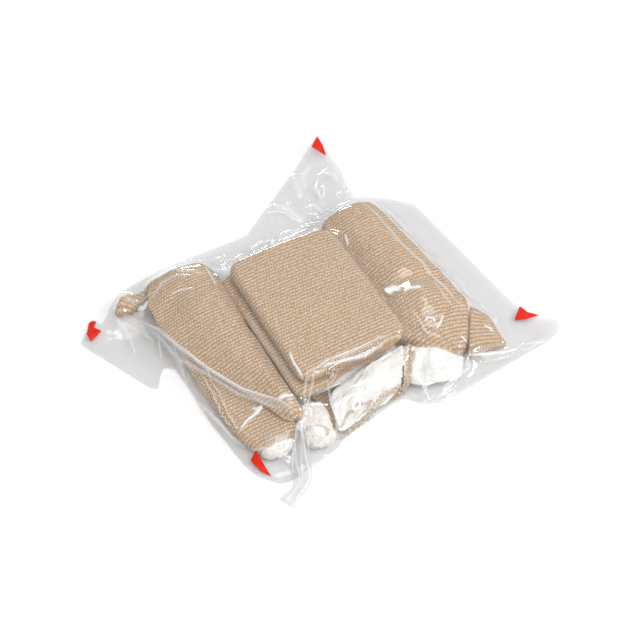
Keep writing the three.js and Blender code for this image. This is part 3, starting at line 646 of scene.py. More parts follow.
@dataclass
class SoftRoll:
    """A soft piece lofted along the bandage's Y: a fold of wrap, or a lobe of the pad.

    Attributes:
        name: The piece's name.
        stations: Rows of y, left, right, bottom, top at the left, top at the right, crown.
        rounds: Corner radius above and below.
        ends: Length over which the front and the back end round off.
        plan_radius: Corner radius in plan at the front and the back.
        relief: How far the knit's ribs stand out.
        slump: How far slow noise moves the surface.
        spacing: Distance between rings.
        template: How many points each section has.
        seed: Seed of the slump.
        cut: How far the cap's rolled layers stand out, for an end that shows them.
    """

    name: str
    stations: np.ndarray
    rounds: tuple = (4.0, 2.5)
    ends: tuple = (5.0, 5.0)
    plan_radius: tuple = (8.0, 8.0)
    relief: float = 0.035
    slump: float = 0.25
    spacing: float = 0.31
    template: SectionTemplate = field(default_factory=SectionTemplate)
    seed: int = 1
    cut: float = 0.0

    def lines(self) -> np.ndarray:
        """Y of each ring: evenly spaced, and closer together where the ends round off."""
        first, last = self.stations[0, 0], self.stations[-1, 0]
        turn = 1 - np.cos(np.linspace(0, np.pi / 2, 14))
        front = first + self.ends[0] * turn
        back = last - self.ends[1] * turn[::-1]
        count = max(4, int((back[0] - front[-1]) / self.spacing))
        return np.concatenate([front, np.linspace(front[-1], back[0], count + 1)[1:-1], back])

    def at(self, y: np.ndarray) -> np.ndarray:
        """The stations' columns at each y, eased between stations by smoothing a fine linear table."""
        fine = np.linspace(self.stations[0, 0], self.stations[-1, 0], 400)
        table = sampled(self.stations[:, 1:], self.stations[:, 0], fine)
        return sampled(eased(table, 17), fine, y)

    def rings(self) -> tuple[np.ndarray, np.ndarray, int]:
        """Smooth rings of the piece in the bandage's frame, before its relief.

        Each point sits on a corner circle of the rounded section. Width, bottom and top shrink on
        quarter circles towards both ends. The top is a line from left to right plus a parabola.

        Returns:
            The rings, each ring's y, and the column in the middle of the top.
        """
        y = self.lines()
        left, right, bottom, top_left, top_right, crown = self.at(y).T[:, :, None]
        x, z, angle, middle = self.template.shares()
        x, z, angle = x[None], z[None], angle[None]
        shrink = np.zeros((len(y), 1))
        fall = np.zeros((len(y), 1))
        for away, end, plan in (
            (y - y[0], self.ends[0], self.plan_radius[0]),
            (y[-1] - y, self.ends[1], self.plan_radius[1]),
        ):
            short = np.clip(plan - away, 0, plan)[:, None]
            shrink += plan - np.sqrt(plan**2 - short**2)
            short = np.clip(end - away, 0, end)[:, None] / end
            fall += 1 - np.sqrt(1 - short**2)
        half = np.maximum((right - left) / 2 - shrink, 0.3)
        top = top_left + (top_right - top_left) * (x + 1) / 2 + crown * (1 - x**2)
        height = top - bottom
        lower = bottom + fall * 0.42 * height
        upper = top - fall * 0.52 * height
        share = (z + 1) / 2
        radius = self.rounds[1] + (self.rounds[0] - self.rounds[1]) * share
        radius = np.minimum(radius, np.minimum(half * 0.98, (upper - lower) * 0.49))
        centre = lower + radius + (upper - lower - 2 * radius) * share
        px = (left + right) / 2 + (half - radius) * x + radius * np.cos(angle)
        pz = centre + radius * np.sin(angle)
        return np.stack([px, np.broadcast_to(y[:, None], px.shape), pz], -1), y, middle

    def shaped(self, rings: np.ndarray) -> np.ndarray:
        """Hook for a piece's own bends; the plain roll has none."""
        return rings

    def skin(self) -> Skin:
        """The closed skin in the part's frame, with slump, ribs and the two capped ends."""
        rings, y, middle = self.rings()
        around = arc_lengths(rings, middle)
        along = np.broadcast_to(y[:, None], around.shape)
        rings = self.shaped(rings)
        normal = outward(rings)
        slump = self.slump * smooth_noise(rings.shape[:2], 26, self.seed)
        slump += 0.35 * self.slump * smooth_noise(rings.shape[:2], 9, self.seed + 50)
        u, v = around[:, :-1], along[:, :-1]
        row = np.floor(v / RIB_PITCH)
        part = v / RIB_PITCH - row
        stitch = np.sin(2 * np.pi * (u / STITCH_PITCH + STITCH_LEAN * part + 0.5 * row))
        ribs = self.relief * (np.sin(np.pi * part) + 0.5 * stitch - 0.6)
        rings = rings + normal * (slump + ribs)[..., None]
        caps = [self.cap(rings[0], -1), self.cap(rings[-1], 1)]
        rings = np.concatenate([caps[0][::-1], rings, caps[1]])
        steps = len(caps[0])
        around = np.concatenate([around[:1].repeat(steps, 0), around, around[-1:].repeat(steps, 0)])
        turn = np.arange(1, steps + 1)[:, None] * 0.4
        along = np.concatenate([(along[:1] - turn)[::-1], along, along[-1:] + turn])
        return tube_skin(to_part(rings), around, along)

    def cap(self, ring: np.ndarray, side: int) -> np.ndarray:
        """Rings that shrink onto the end's middle line, with the rolled layers' low ridges."""
        middle = ring.mean(axis=0)
        shares = np.linspace(1, 0.03, 15)[1:, None]
        line = middle + (ring - middle) * np.array([0.45, 0, 0])
        rings = line[None] + (ring - line)[None] * shares[..., None]
        bulge = 0.7 * (1 - shares**2) + self.cut * np.cos(shares * 5.5 * np.pi)
        rings[..., 1] += side * bulge * np.ones(len(ring))
        return rings

    def build(self, finish: bpy.types.Material, slot: Slot, fill: float) -> bpy.types.Object:
        """Args:
            finish: Its material.
            slot: The record's slot of that material; not used.
            fill: How full it is, from 0 to 1; not used.

        Returns:
            The piece.
        """
        piece = make_piece(self.name, self.skin(), finish)
        return piece


def hump(value: np.ndarray, centre: float, width: float) -> np.ndarray:
    """A bell of height 1 round a centre."""
    return np.exp(-(((value - centre) / width) ** 2))


@dataclass
class BlockSlab(SoftRoll):
    """One slab of the folded block: its front edge slants and its back edge bows a little.

    Attributes:
        recess: How far the front draws back on the right, under the slab above.
    """

    recess: float = 0.0

    def shaped(self, rings: np.ndarray) -> np.ndarray:
        """Moves the front along Y by a share of x, and bows the back by a parabola."""
        x, y = rings[..., 0], rings[..., 1]
        rings = rings.copy()
        front = np.clip(-y / 40, 0, 1)
        step = np.clip((x + 15) / 9, 0, 1)
        rings[..., 1] = y + front * (0.06 * x + self.recess * step * step * (3 - 2 * step))
        rings[..., 1] += 1.4 * (1 - (x / 28) ** 2) * np.clip((y - 18) / 20, 0, 1)
        return rings


class LeftFold(SoftRoll):
    """The left fold: broad and gently domed, with a few slack folds at its back corner."""

    def shaped(self, rings: np.ndarray) -> np.ndarray:
        """Dips the back corner along two slanting folds, and lifts a long soft ridge by the block."""
        x, y, z = np.moveaxis(rings, -1, 0)
        rings = rings.copy()
        upper = np.clip((z - 12) / 2, 0, 1)
        ridge = hump(x, -37.5, 3.0) * np.clip((20 - y) / 20, 0, 1)
        fold = hump(y - 0.35 * x, 56, 3.2) + 0.7 * hump(y - 0.2 * x, 43, 2.4)
        rings[..., 2] += upper * (0.5 * ridge - 0.8 * fold)
        return rings


class RightFold(SoftRoll):
    """The right fold: a trough across it, a bulge before the trough, and slack creases."""

    def shaped(self, rings: np.ndarray) -> np.ndarray:
        """Presses the trough in, lifts the bulge in front of it, and lays slanting creases behind."""
        x, y, z = np.moveaxis(rings, -1, 0)
        rings = rings.copy()
        upper = np.clip((z - 8) / 4, 0, 1)
        across = y + 0.3 * (x - 40)
        bulge = 1.5 * hump(across, -14, 7.5) * hump(x, 47, 15)
        trough = 1.9 * hump(across, -1.5, 5.0) * np.clip((66 - x) / 12, 0, 1)
        front = 1.2 * hump(y - 0.9 * (x - 58), -26, 2.6) * np.clip((x - 48) / 8, 0, 1)
        slack = 0.5 * hump(y + 0.55 * (x - 40), 16, 3) + 0.3 * hump(y + 0.4 * (x - 40), 27, 2.6)
        rings[..., 2] += upper * (bulge - trough - front - slack)
        return rings


@dataclass
class Quad:
    """A plan with four corners in the bandage's frame, front left first, against the clock."""

    front_left: tuple
    front_right: tuple
    back_right: tuple
    back_left: tuple

    def place(self, across: np.ndarray, along: np.ndarray) -> tuple[np.ndarray, np.ndarray]:
        """Plan point at shares across and along, each from 0 to 1, joined linearly both ways."""
        front, back = (
            [start + (end - start) * across for start, end in zip(*edge)]
            for edge in ((self.front_left, self.front_right), (self.back_left, self.back_right))
        )
        return tuple(f + (b - f) * along for f, b in zip(front, back))


@dataclass
class QuadRoll(SoftRoll):
    """A soft piece over a plan of four corners, such as a lobe of the pad.

    Attributes:
        plan: Its corners.
        fluff: How far the fibres' tufts stand out.
        slope: Share of the height left at the left edge, the middle and the right edge.
        dents: Dents of the top: x, y, half length, half width, turn in degrees, depth.
    """

    plan: Quad | None = None
    fluff: float = 0.0
    slope: tuple = (1.0, 1.0, 1.0)
    dents: tuple = ()

    def shaped(self, rings: np.ndarray) -> np.ndarray:
        """Stretches the straight piece over its plan, with tufts of fibre."""
        rings = rings.copy()
        left, right = self.stations[0, 1], self.stations[0, 2]
        front, back = self.stations[0, 0], self.stations[-1, 0]
        across = (rings[..., 0] - left) / (right - left)
        along = (rings[..., 1] - front) / (back - front)
        rings[..., 0], rings[..., 1] = self.plan.place(across, along)
        floor = self.stations[0, 3]
        share = np.interp(across, (0, 0.15, 0.5, 0.9, 1), (self.slope[0], *self.slope, self.slope[2]))
        over = rings[..., 2] - floor
        rings[..., 2] = floor + over * share
        for x, y, long_, wide, turn, depth in self.dents:
            dx, dy = turned(rings[..., 0] - x, rings[..., 1] - y, math.radians(-turn))
            bowl = np.exp(-(((dx / long_) ** 2 + (dy / wide) ** 2) ** 2))
            rings[..., 2] -= np.minimum(depth * bowl, 0.7 * (rings[..., 2] - floor))
        if self.fluff:
            tufts = smooth_noise(rings.shape[:2], 3.5, self.seed + 7)
            folds = smooth_noise(rings.shape[:2], 12, self.seed + 9)
            rings += outward(rings) * (self.fluff * (0.35 * tufts + folds))[..., None]
        return rings


# --- Threads ---


class HeightMap:
    """The highest and the lowest points of some pieces over a plan grid.

    Attributes:
        cell: Spacing of the grid.
        x: Plan coordinate of each grid point.
        y: Plan coordinate of each grid point.
        top: Highest point over each grid point, NO_TOP where there is none.
        low: Lowest point over each grid point, NO_LOW where there is none.
    """

    def __init__(self, cell: float = 0.5) -> None:
        """Starts with an empty map round the pouch."""
        self.cell = cell
        self.x, self.y = np.meshgrid(np.arange(*MAP_ACROSS, cell), np.arange(*MAP_ALONG, cell))
        self.top = np.full(self.x.shape, NO_TOP)
        self.low = np.full(self.x.shape, NO_LOW)

    def add(self, pieces: list[bpy.types.Object]) -> None:
        """Enters the pieces' vertices."""
        top, low = np.full(self.x.shape, NO_TOP), np.full(self.x.shape, NO_LOW)
        for piece in pieces:
            flat = np.empty(len(piece.data.vertices) * 3, np.float32)
            piece.data.vertices.foreach_get("co", flat)
            px, py, pz = (flat.reshape(-1, 3) / MM).T
            column = np.clip(np.rint((px - self.x[0, 0]) / self.cell).astype(int), 0, top.shape[1] - 1)
            row = np.clip(np.rint((py - self.y[0, 0]) / self.cell).astype(int), 0, top.shape[0] - 1)
            np.maximum.at(top, (row, column), pz)
            np.minimum.at(low, (row, column), pz)
        self.top = np.maximum(self.top, self.spread(top))
        self.low = np.minimum(self.low, -self.spread(-low))

    @staticmethod
    def spread(top: np.ndarray) -> np.ndarray:
        """Each cell raised to the highest of itself and its eight neighbours."""
        for axis in (0, 1):
            top = np.maximum(top, np.maximum(np.roll(top, 1, axis), np.roll(top, -1, axis)))
        return top

    def read(self, table: np.ndarray, x: np.ndarray, y: np.ndarray) -> np.ndarray:
        """A table of this grid's shape at plan points, joined linearly between grid points."""
        column = np.clip((x - self.x[0, 0]) / self.cell, 0, table.shape[1] - 1.001)
        row = np.clip((y - self.y[0, 0]) / self.cell, 0, table.shape[0] - 1.001)
        c, r = column.astype(int), row.astype(int)
        return between(table, r, c, row - r, column - c)


@dataclass
class Selvage:
    """A finished edge of the wrap: yarn that loops from side to side along a path.

    Attributes:
        name: The piece's name.
        swing: Half the width of the loops.
        radius: The yarn's radius.
        strands: How many yarns run side by side.
        seed: Seed of the yarns' unevenness.
        path: Plan points in the bandage's frame.
        map: What the yarn lies on.
        pitch: Length of one loop.
        spacing: Distance between the points of a yarn.
    """

    name: str
    swing: float
    radius: float
    strands: int
    seed: int
    path: list
    map: HeightMap
    pitch: float = 1.5
    spacing: float = 0.2

    def strand(self, number: int) -> np.ndarray:
        """Centre line of one yarn: the path, moved sideways by a sine and up and down by another."""
        path = np.array(self.path, float)
        length = path_lengths(path)
        at = np.arange(0, length[-1], self.spacing)
        line = np.column_stack([sampled(path, length, at), np.zeros(len(at))])
        tangent = np.gradient(line, axis=0)
        side = unit(np.stack([-tangent[:, 1], tangent[:, 0], tangent[:, 2]], 1))
        random = np.random.default_rng(self.seed + number)
        wander = np.interp(at, np.linspace(0, length[-1], 40), random.uniform(-1, 1, 40))
        phase = 2 * np.pi * at / self.pitch + number * 2.3 + 2.2 * wander
        shift = (number - (self.strands - 1) / 2) * self.swing * 0.9
        line = line + side * (shift + self.swing * np.sin(phase) + 0.4 * wander)[:, None]
        part = to_part(line)
        under = self.map.read(self.map.top, part[:, 0], part[:, 1])
        under = np.convolve(np.pad(under, 5, mode="edge"), bell(11), mode="valid")
        line[:, 2] = under + 0.1 * self.radius + 0.34 * np.cos(phase + 0.6)
        return line

    def skin(self) -> Skin:
        """Round tubes over all yarns: a circle set square to each centre line."""
        parts = []
        for number in range(self.strands):
            line = self.strand(number)
            side, top = axes_along(line)
            angle = np.linspace(0, 2 * np.pi, 6, endpoint=False)[None, :, None]
            ring = self.radius * (np.cos(angle) * side[:, None] + np.sin(angle) * top[:, None])
            ring[[0, -1]] *= 0.2
            at = np.arange(len(line)) * self.spacing
            along, around = np.meshgrid(at, np.linspace(0, 2, 7), indexing="ij")
            parts.append(tube_skin(to_part(line[:, None] + ring), around, along))
        return joined(parts)

    def build(self, finish: bpy.types.Material, slot: Slot) -> bpy.types.Object:
        """Makes the piece."""
        return make_piece(self.name, self.skin(), finish)


def joined(parts: list[Skin]) -> Skin:
    """Several skins as one."""
    vertices = np.cumsum([0] + [len(part.points) for part in parts])
    loops = np.cumsum([0] + [len(part.corners) for part in parts])
    return Skin(
        np.concatenate([part.points for part in parts]),
        np.concatenate([part.corners + first for part, first in zip(parts, vertices)]),
        np.concatenate([part.starts + first for part, first in zip(parts, loops)]),
        np.concatenate([part.uv for part in parts]),
    )


@dataclass
class TwistedTail:
    """The wrap's free end behind the left folds: a strip wrung into a knobbly rope.

    Attributes:
        path: Points of its centre line in the bandage's frame.
        wide: Width of the flattened section.
        turns: How often it is twisted over its length.
    """

    path: np.ndarray
    wide: float = 8.2
    turns: float = 0.85

    def skin(self) -> Skin:
        """A pinched oval section carried along the path, turning, with knobs and lengthwise creases."""
        length = path_lengths(self.path)
        at = np.linspace(0, length[-1], 110)
        line = eased(sampled(self.path, length, at), 11)
        side, top = axes_along(line)
        share = np.linspace(0, 1, len(at))[:, None]
        angle = np.linspace(0, 2 * np.pi, 64, endpoint=False)[None]
        twist = 2 * np.pi * self.turns * share
        knob = 1 + 0.22 * np.sin(share * 3.1 * np.pi + 0.4)
        taper = np.sqrt(np.clip(1 - (2 * share - 1) ** 12, 0.04, 1))
        creases = 1 + 0.10 * np.cos(3 * angle + 5 * share) + 0.05 * np.cos(7 * angle - 11 * share)
        radius = self.wide / 2 * knob * taper * creases
        across, upward = turned(radius * np.cos(angle), 0.62 * radius * np.sin(angle), twist)
        rings = line[:, None] + across[..., None] * side[:, None] + upward[..., None] * top[:, None]
        around = arc_lengths(rings, 16)
        along = np.broadcast_to(at[:, None], around.shape)
        row = along[:, :-1] / RIB_PITCH + around[:, :-1] * 0.25
        rings = rings + outward(rings) * (0.14 * np.cos(2 * np.pi * row))[..., None]
        return tube_skin(to_part(rings), around, along + around * 0.45)

    def build(self, finish: bpy.types.Material, slot: Slot) -> bpy.types.Object:
        """Makes the tail and lets it stand for its node."""
        piece = make_piece("twisted_tail", self.skin(), finish)
        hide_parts("wrap_twisted_tail")
        return piece


class FoldedWrap:
    """The wrap's folds, the pad's lobes between them, and their finished edges."""

    def __init__(self) -> None:
        """Makes the looks, each a material and its slot."""
        self.knit = KnitFinish().build(), Slot.KNIT
        self.gauze = GauzeFinish().build(), Slot.GAUZE
        cut = GauzeFinish("gauze_cut_ends", speck=(0.74, 0.52, 0.33, 1), specks=1.5)
        self.lint = cut.build(), Slot.GAUZE
        frayed = GauzeFinish(
            "frayed_edge", (0.93, 0.88, 0.80, 1), (0.86, 0.74, 0.60, 1), (0.60, 0.32, 0.12, 1), 1.9
        )
        self.edge = frayed.build(), Slot.KNIT
        sewn = KnitFinish("knit_edge_stitches", (0.90, 0.80, 0.64, 1), (0.86, 0.70, 0.50, 1), relief=0.0001)
        self.stitched = sewn.build(), Slot.KNIT
        self.map = HeightMap()

    def add(
        self, kind: type[SoftRoll], name: str, nodes: list[str], look: tuple, fill: float, stations: list,
        **shape: object,
    ) -> None:
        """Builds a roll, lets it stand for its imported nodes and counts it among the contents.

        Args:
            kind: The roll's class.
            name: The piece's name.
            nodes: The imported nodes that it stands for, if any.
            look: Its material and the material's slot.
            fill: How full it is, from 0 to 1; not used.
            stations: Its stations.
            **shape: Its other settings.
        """
        piece = kind(name, np.array(stations, float), **shape).build(*look, fill)
        if nodes:
            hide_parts(*nodes)
        self.map.add([piece])

    def block(self) -> None:
        """Builds the centre block from two slabs, the lower one showing in front on the left."""
        self.add(
            BlockSlab, "block_top_folds", ["wrap_block"], self.knit, 0.7,
            [(-40.2, -27.6, 28.6, 17.5, 24, 23.4, 0.5), (-30, -27.8, 28.8, 17.5, 24.2, 24, 0.7),
             (30, -27.2, 28.2, 17.5, 24.2, 24.2, 0.6), (39.4, -27, 28, 17.5, 23.8, 23.8, 0.4)],
            rounds=(3.6, 2.4), ends=(3.6, 4.4), plan_radius=(7.5, 8), slump=0.14,
            template=SectionTemplate(150, 12, 10, 30),
        )
        self.add(
            BlockSlab, "block_lower_folds", [], self.knit, 0.6,
            [(-42.6, -31, 27.4, 12.5, 16.6, 17, 0.1), (0, -31.2, 27.6, 12.5, 16.8, 17, 0.1),
             (38.6, -30.8, 27.4, 12.5, 16.4, 17, 0.1)],
            rounds=(2.2, 2.2), ends=(2.4, 2.6), plan_radius=(6, 6), slump=0.2, seed=4, recess=5,
            template=SectionTemplate(70, 10, 4, 30),
        )

    def left_folds(self) -> None:
        """Builds the left fold, the fold under it and the pad's rolled end in front of that."""
        self.add(
            LeftFold, "left_fold", ["wrap_left_fold"], self.knit, 0.6,
            [(-51, -40, -31.2, 9.7, 11.2, 12.4, 0.6), (-46, -42, -31.3, 9.7, 12, 14.6, 1.2),
             (-38, -44.6, -31.35, 9.7, 12, 16, 1.6), (-24, -51.4, -31.4, 9.7, 11.6, 16.6, 2.2),
             (-6, -59.2, -31.5, 9.7, 11.2, 16.8, 2.6), (11, -64.4, -31.6, 9.7, 11.2, 17, 2.7),
             (29, -67.6, -30.4, 9.7, 11.4, 17.2, 2.5), (42, -66.8, -29.8, 9.7, 11.4, 16.8, 2.2),
             (56.5, -61.5, -32, 9.7, 11.2, 14.4, 1.8)],
            rounds=(3, 2), ends=(4, 5), plan_radius=(4, 7), slump=0.35, seed=11,
        )
        self.add(
            SoftRoll, "left_under_fold", ["wrap_left_under_fold"], self.knit, 0.7,
            [(-56.2, -57, -37.5, 1, 7.6, 8.8, 0.3), (-50, -60.4, -35.6, 0.9, 7.8, 9, 0.5),
             (-36, -63, -35, 0.9, 8, 9, 0.5), (-10, -64.4, -35, 0.9, 8, 9, 0.5),
             (20, -63.6, -35, 0.9, 8, 9, 0.5), (50.5, -58.5, -37.5, 0.9, 7.4, 8.6, 0.4)],
            rounds=(3.7, 3), ends=(1.6, 5), plan_radius=(2, 8), slump=0.35, seed=21,
        )
        self.add(
            SoftRoll, "rolled_pad_end", [], self.lint, 0.5,
            [(-61.4, -55.6, -40.4, 1.3, 6.6, 7.4, 0.6), (-56.6, -56.6, -39.6, 1.1, 7.6, 8.4, 0.6)],
            rounds=(3.2, 2.4), ends=(3.6, 0.6), plan_radius=(4.6, 0.6), relief=0.05, slump=0.5, spacing=0.25,
            template=SectionTemplate(40, 10, 10, 16), seed=25, cut=0.4,
        )

    def right_folds(self) -> None:
        """Builds the right fold and its flap."""
        self.add(
            RightFold, "right_fold", ["wrap_right_fold"], self.knit, 0.6,
            [(-48.8, 43.6, 55.6, 0.9, 8.4, 7.8, 0.6), (-44, 39.6, 58.6, 0.9, 9.6, 9, 1.4),
             (-38, 35.2, 62.4, 0.9, 10.8, 10.4, 2.2), (-30, 30.8, 67.4, 0.9, 11.6, 11.8, 3.2),
             (-23, 29.6, 70.2, 0.9, 11.8, 12.4, 3.8), (-8, 29.6, 68.6, 0.9, 11.6, 13.2, 4.6),
             (12, 29.4, 66.2, 0.9, 11.4, 14.4, 4.6), (34, 29.2, 64, 0.9, 12, 14.8, 3.8),
             (48, 30, 62.8, 0.9, 12.6, 14.6, 3), (56.6, 34, 60.6, 0.9, 12.4, 14, 1.8)],
            rounds=(4.6, 3.4), ends=(4, 5), plan_radius=(5, 7), slump=0.45, seed=31,
        )
        self.add(
            QuadRoll, "right_flap", ["wrap_right_flap"], self.knit, 0.5,
            [(0, 0, 18, 0.9, 7.6, 4.8, 0.5), (20, 0, 18, 0.9, 9.2, 5.4, 0.7)],
            rounds=(1.1, 1.2), ends=(1.3, 2), plan_radius=(0.6, 1), slump=0.4, seed=41,
            template=SectionTemplate(64, 8, 6, 14),
            plan=Quad((55.6, -49.8), (74.8, -52), (75.8, -33), (70.2, -26.6)),
        )

    def pad(self) -> None:
        """Builds the pad's body, its two lobes and its rolled corner."""
        soft = {"relief": 0.0, "slump": 0.5, "spacing": 0.25}
        lobe = {"rounds": (2.2, 1.2), "ends": (3.4, 3.4), "template": SectionTemplate(110, 8, 12, 20), **soft}
        self.add(
            SoftRoll, "pad_body", ["absorbent_pad"], self.gauze, 0.6,
            [(-39, -25.4, 25.4, 2.8, 11.8, 11.8, 0.2), (48.6, -25.4, 25.4, 2.8, 11.6, 11.6, 0.2)],
            ends=(3, 4), relief=0.0, slump=0.4, spacing=1.2, template=SectionTemplate(40, 6, 8, 12), seed=51,
        )
        self.add(
            QuadRoll, "pad_left_lobe", ["pad_left_lobe"], self.gauze, 0.5,
            [(0, 0, 42, 2.8, 6.4, 6.6, 0.6), (3, 0, 42, 2.8, 8, 8.8, 0.9), (9, 0, 42, 2.8, 10.8, 12, 1.2),
             (16, 0, 42, 2.8, 12.8, 14.2, 1.2), (23, 0, 42, 2.8, 14, 15, 0.8)],
            plan_radius=(3, 3), seed=61, fluff=0.5, slope=(0.55, 1, 0.98), **lobe,
            plan=Quad((-19.6, -62), (18.6, -51.4), (27.4, -36.4), (-14.8, -41.6)),
            dents=((-9, -56.6, 9, 3, 14, 3.2), (4, -50, 14, 3.4, 24, 1.6)),
        )
        self.add(
            QuadRoll, "pad_right_lobe", ["pad_right_lobe"], self.gauze, 0.5,
            [(0, 0, 26, 2.8, 6.8, 5.6, 0.8), (3, 0, 26, 2.8, 9.2, 7, 1.2), (9, 0, 26, 2.8, 12, 9.2, 1.6),
             (17, 0, 26, 2.8, 13.8, 9.6, 1.6)],
            plan_radius=(3, 4), seed=71, fluff=0.5, slope=(0.98, 1, 0.7), **lobe,
            plan=Quad((21.6, -53.4), (44.8, -60.4), (53, -50.8), (30.6, -37.4)),
            dents=((33, -54.5, 8, 2.2, -20, 1.4),),
        )
        self.add(
            QuadRoll, "pad_rolled_corner", ["pad_rolled_corner"], self.lint, 0.5,
            [(0, 0, 14, 0.9, 6, 6.2, 1), (22, 0, 14, 0.9, 8.8, 9, 1)],
            rounds=(3.2, 2.6), ends=(3.4, 3), plan_radius=(4.2, 3), seed=81, fluff=0.25, cut=0.35, **soft,
            template=SectionTemplate(50, 10, 10, 14),
            plan=Quad((-36, -64), (-21.8, -65.4), (-18.6, -42.6), (-34.8, -42.8)),
        )

    def under_pad(self) -> None:
        """Builds the wrap's layer under the pad, and the edge that stands between the lobes."""
        self.add(
            QuadRoll, "base_layer", ["wrap_base_layer"], self.knit, 0.4,
            [(0, 0, 50, 0.9, 2.3, 2.3, 0.1), (105, 0, 50, 0.9, 2.3, 2.3, 0.1)],
            rounds=(0.7, 0.7), ends=(0.8, 0.8), plan_radius=(2, 2), slump=0.1, spacing=0.6, seed=91,
            template=SectionTemplate(60, 4, 2, 20),
            plan=Quad((-18.8, -60.6), (26, -48.6), (27.6, 48.4), (-27.6, 48.4)),
        )
        self.add(
            QuadRoll, "divider_edge", ["wrap_divider_edge"], self.edge, 0.4,
            [(0, 0, 2.4, 2.8, 6.6, 6.6, 0.3), (8, 0, 2.4, 2.8, 10.8, 10.8, 0.3),
             (19, 0, 2.4, 2.8, 13.6, 13.6, 0.2)],
            rounds=(1, 0.8), ends=(4, 2), plan_radius=(0.5, 0.5), relief=0.2, slump=0.3, seed=95,
            template=SectionTemplate(10, 6, 26, 6),
            plan=Quad((19, -52.6), (21.2, -53.4), (30.2, -37.4), (27.8, -36.6)),
        )

    def edges(self) -> None:
        """Lays the finished edges on what is built so far: at the pad's foot, the lobes and the folds."""
        runs = [  # name, swing, radius, strands, seed, path
            ("selvage_pad_foot", 0.6, 0.2, 3, 3,
             [(-21, -63.6), (-14, -62), (-7, -59.8), (2.7, -56.6), (9, -54.2), (20, -52.8)]),
            ("selvage_divider", 0.7, 0.2, 3, 7,
             [(19.8, -53.6), (22, -50.6), (25.8, -46.6), (30.2, -41.4), (29.4, -37.2)]),
            ("selvage_lobe_top", 0.7, 0.18, 1, 9, [(30.2, -38.2), (34, -41), (40, -45), (51, -51)]),
            ("selvage_block_foot", 0.7, 0.2, 2, 13,
             [(-13.4, -42), (-7.4, -40.2), (-1.5, -39.6), (6, -39), (13, -38.6)]),
            ("selvage_curl", 0.7, 0.2, 3, 14, [(-10, -39.6), (-13.4, -39), (-14.8, -40.8), (-13, -42.6)]),
            ("selvage_pocket", 0.4, 0.18, 2, 17,
             [(-18, -60), (-13, -55.8), (-5, -53.8), (0.6, -55), (-5, -57.6)]),
            ("selvage_roll_ring", 0.4, 0.24, 2, 19,
             [(-35.4, -57), (-32, -55.6), (-27, -56.6), (-24.4, -60.4), (-27, -63)]),
            ("edge_stitches_1", 0.3, 0.3, 1, 3, [(-61, -4), (-61.8, -16.5), (-63, -29.9), (-62.6, -38)]),
            ("edge_stitches_2", 0.3, 0.3, 1, 3, [(-58.8, -6), (-59.4, -17.5), (-60.8, -31.5), (-61, -41)]),
        ]
        looks = [self.edge] * 7 + [self.stitched] * 2
        self.map.add([Selvage(*run, self.map).build(*look) for run, look in zip(runs, looks)])

    def tail(self) -> None:
        """Builds the wrung free end."""
        path = np.array([(-52, 53.6, 6.4), (-60, 54.6, 6.2), (-70, 52.6, 5.6), (-80.4, 49.6, 5)])
        self.map.add([TwistedTail(path).build(*self.knit)])

    def build(self) -> None:
        """Builds everything that the pouch is drawn over."""
        self.block()
        self.left_folds()
        self.right_folds()
        self.pad()
        self.under_pad()
        self.edges()
        self.tail()


# --- The pouch ---


RIM = np.array(
    [
        (-87.8, 67.2, 2.5), (-79.6, 24.3, 1), (-77, 22, 1), (-71.7, 27.7, 1), (-67.6, 30.3, 1),
        (-63.9, 26.2, 1), (-66.5, 13.5, 1), (-72.3, -9, 1), (-76.7, -37.2, 1), (-76.5, -46, 1),
        (-72.6, -55.3, 1), (-67.9, -58.7, 1), (-54.3, -58.9, 1), (-39.7, -59.6, 1), (-33.9, -57.2, 1),
        (-3.5, -57.7, 1.5), (3.1, -60, 2), (5.4, -66.2, 2), (11.3, -71.1, 2), (23.4, -74.2, 2),
        (63.5, -78.8, 2), (74.1, -81.2, 4), (81.5, -81, 4), (86.5, -78.4, 4), (88.2, -75.4, 4),
        (87.3, -72.4, 4), (82.8, -68.1, 4), (82.1, -54.7, 2), (94.6, 27.7, 2), (86.4, 39.9, 3),
        (75, 47.7, 6), (72.4, 48.6, 6), (77.9, 61.8, 4), (82.4, 69.1, 4), (86.2, 84.8, 5),
        (88.6, 95.1, 7), (59.7, 83.6, 5), (22.7, 70, 4), (16.4, 67.8, 3), (-15.7, 73, 6),
        (-35.2, 74.7, 8), (-52.4, 76.3, 8), (-60.8, 74.5, 8), (-73.4, 69.3, 4), (-74.6, 72.8, 4),
        (-79, 72.6, 3),
    ]
)  # the pouch's outline as offsets from the block's centre, with its height over the floor
MARKS = {
    "back_right": [(88.8, 95), (81.3, 91.1), (83.4, 82.1), (87.1, 88.8), (88, 92.5)],
    "front_right": [(82.8, -56.1), (74.1, -60.7), (77.6, -64.2), (84.2, -67.6), (82.2, -62.4), (82.1, -61.1)],
    "back_left": [
        (-77.6, 74.1), (-75.2, 73.9), (-74.4, 72), (-78, 72.2), (-76.2, 65.9), (-83.5, 65), (-82.2, 69.8),
    ],
    "front_left": [(-70.2, -38.5), (-74, -38.9), (-74, -45.6), (-72, -51)],
}  # the tear marks' outlines as offsets from the block's centre
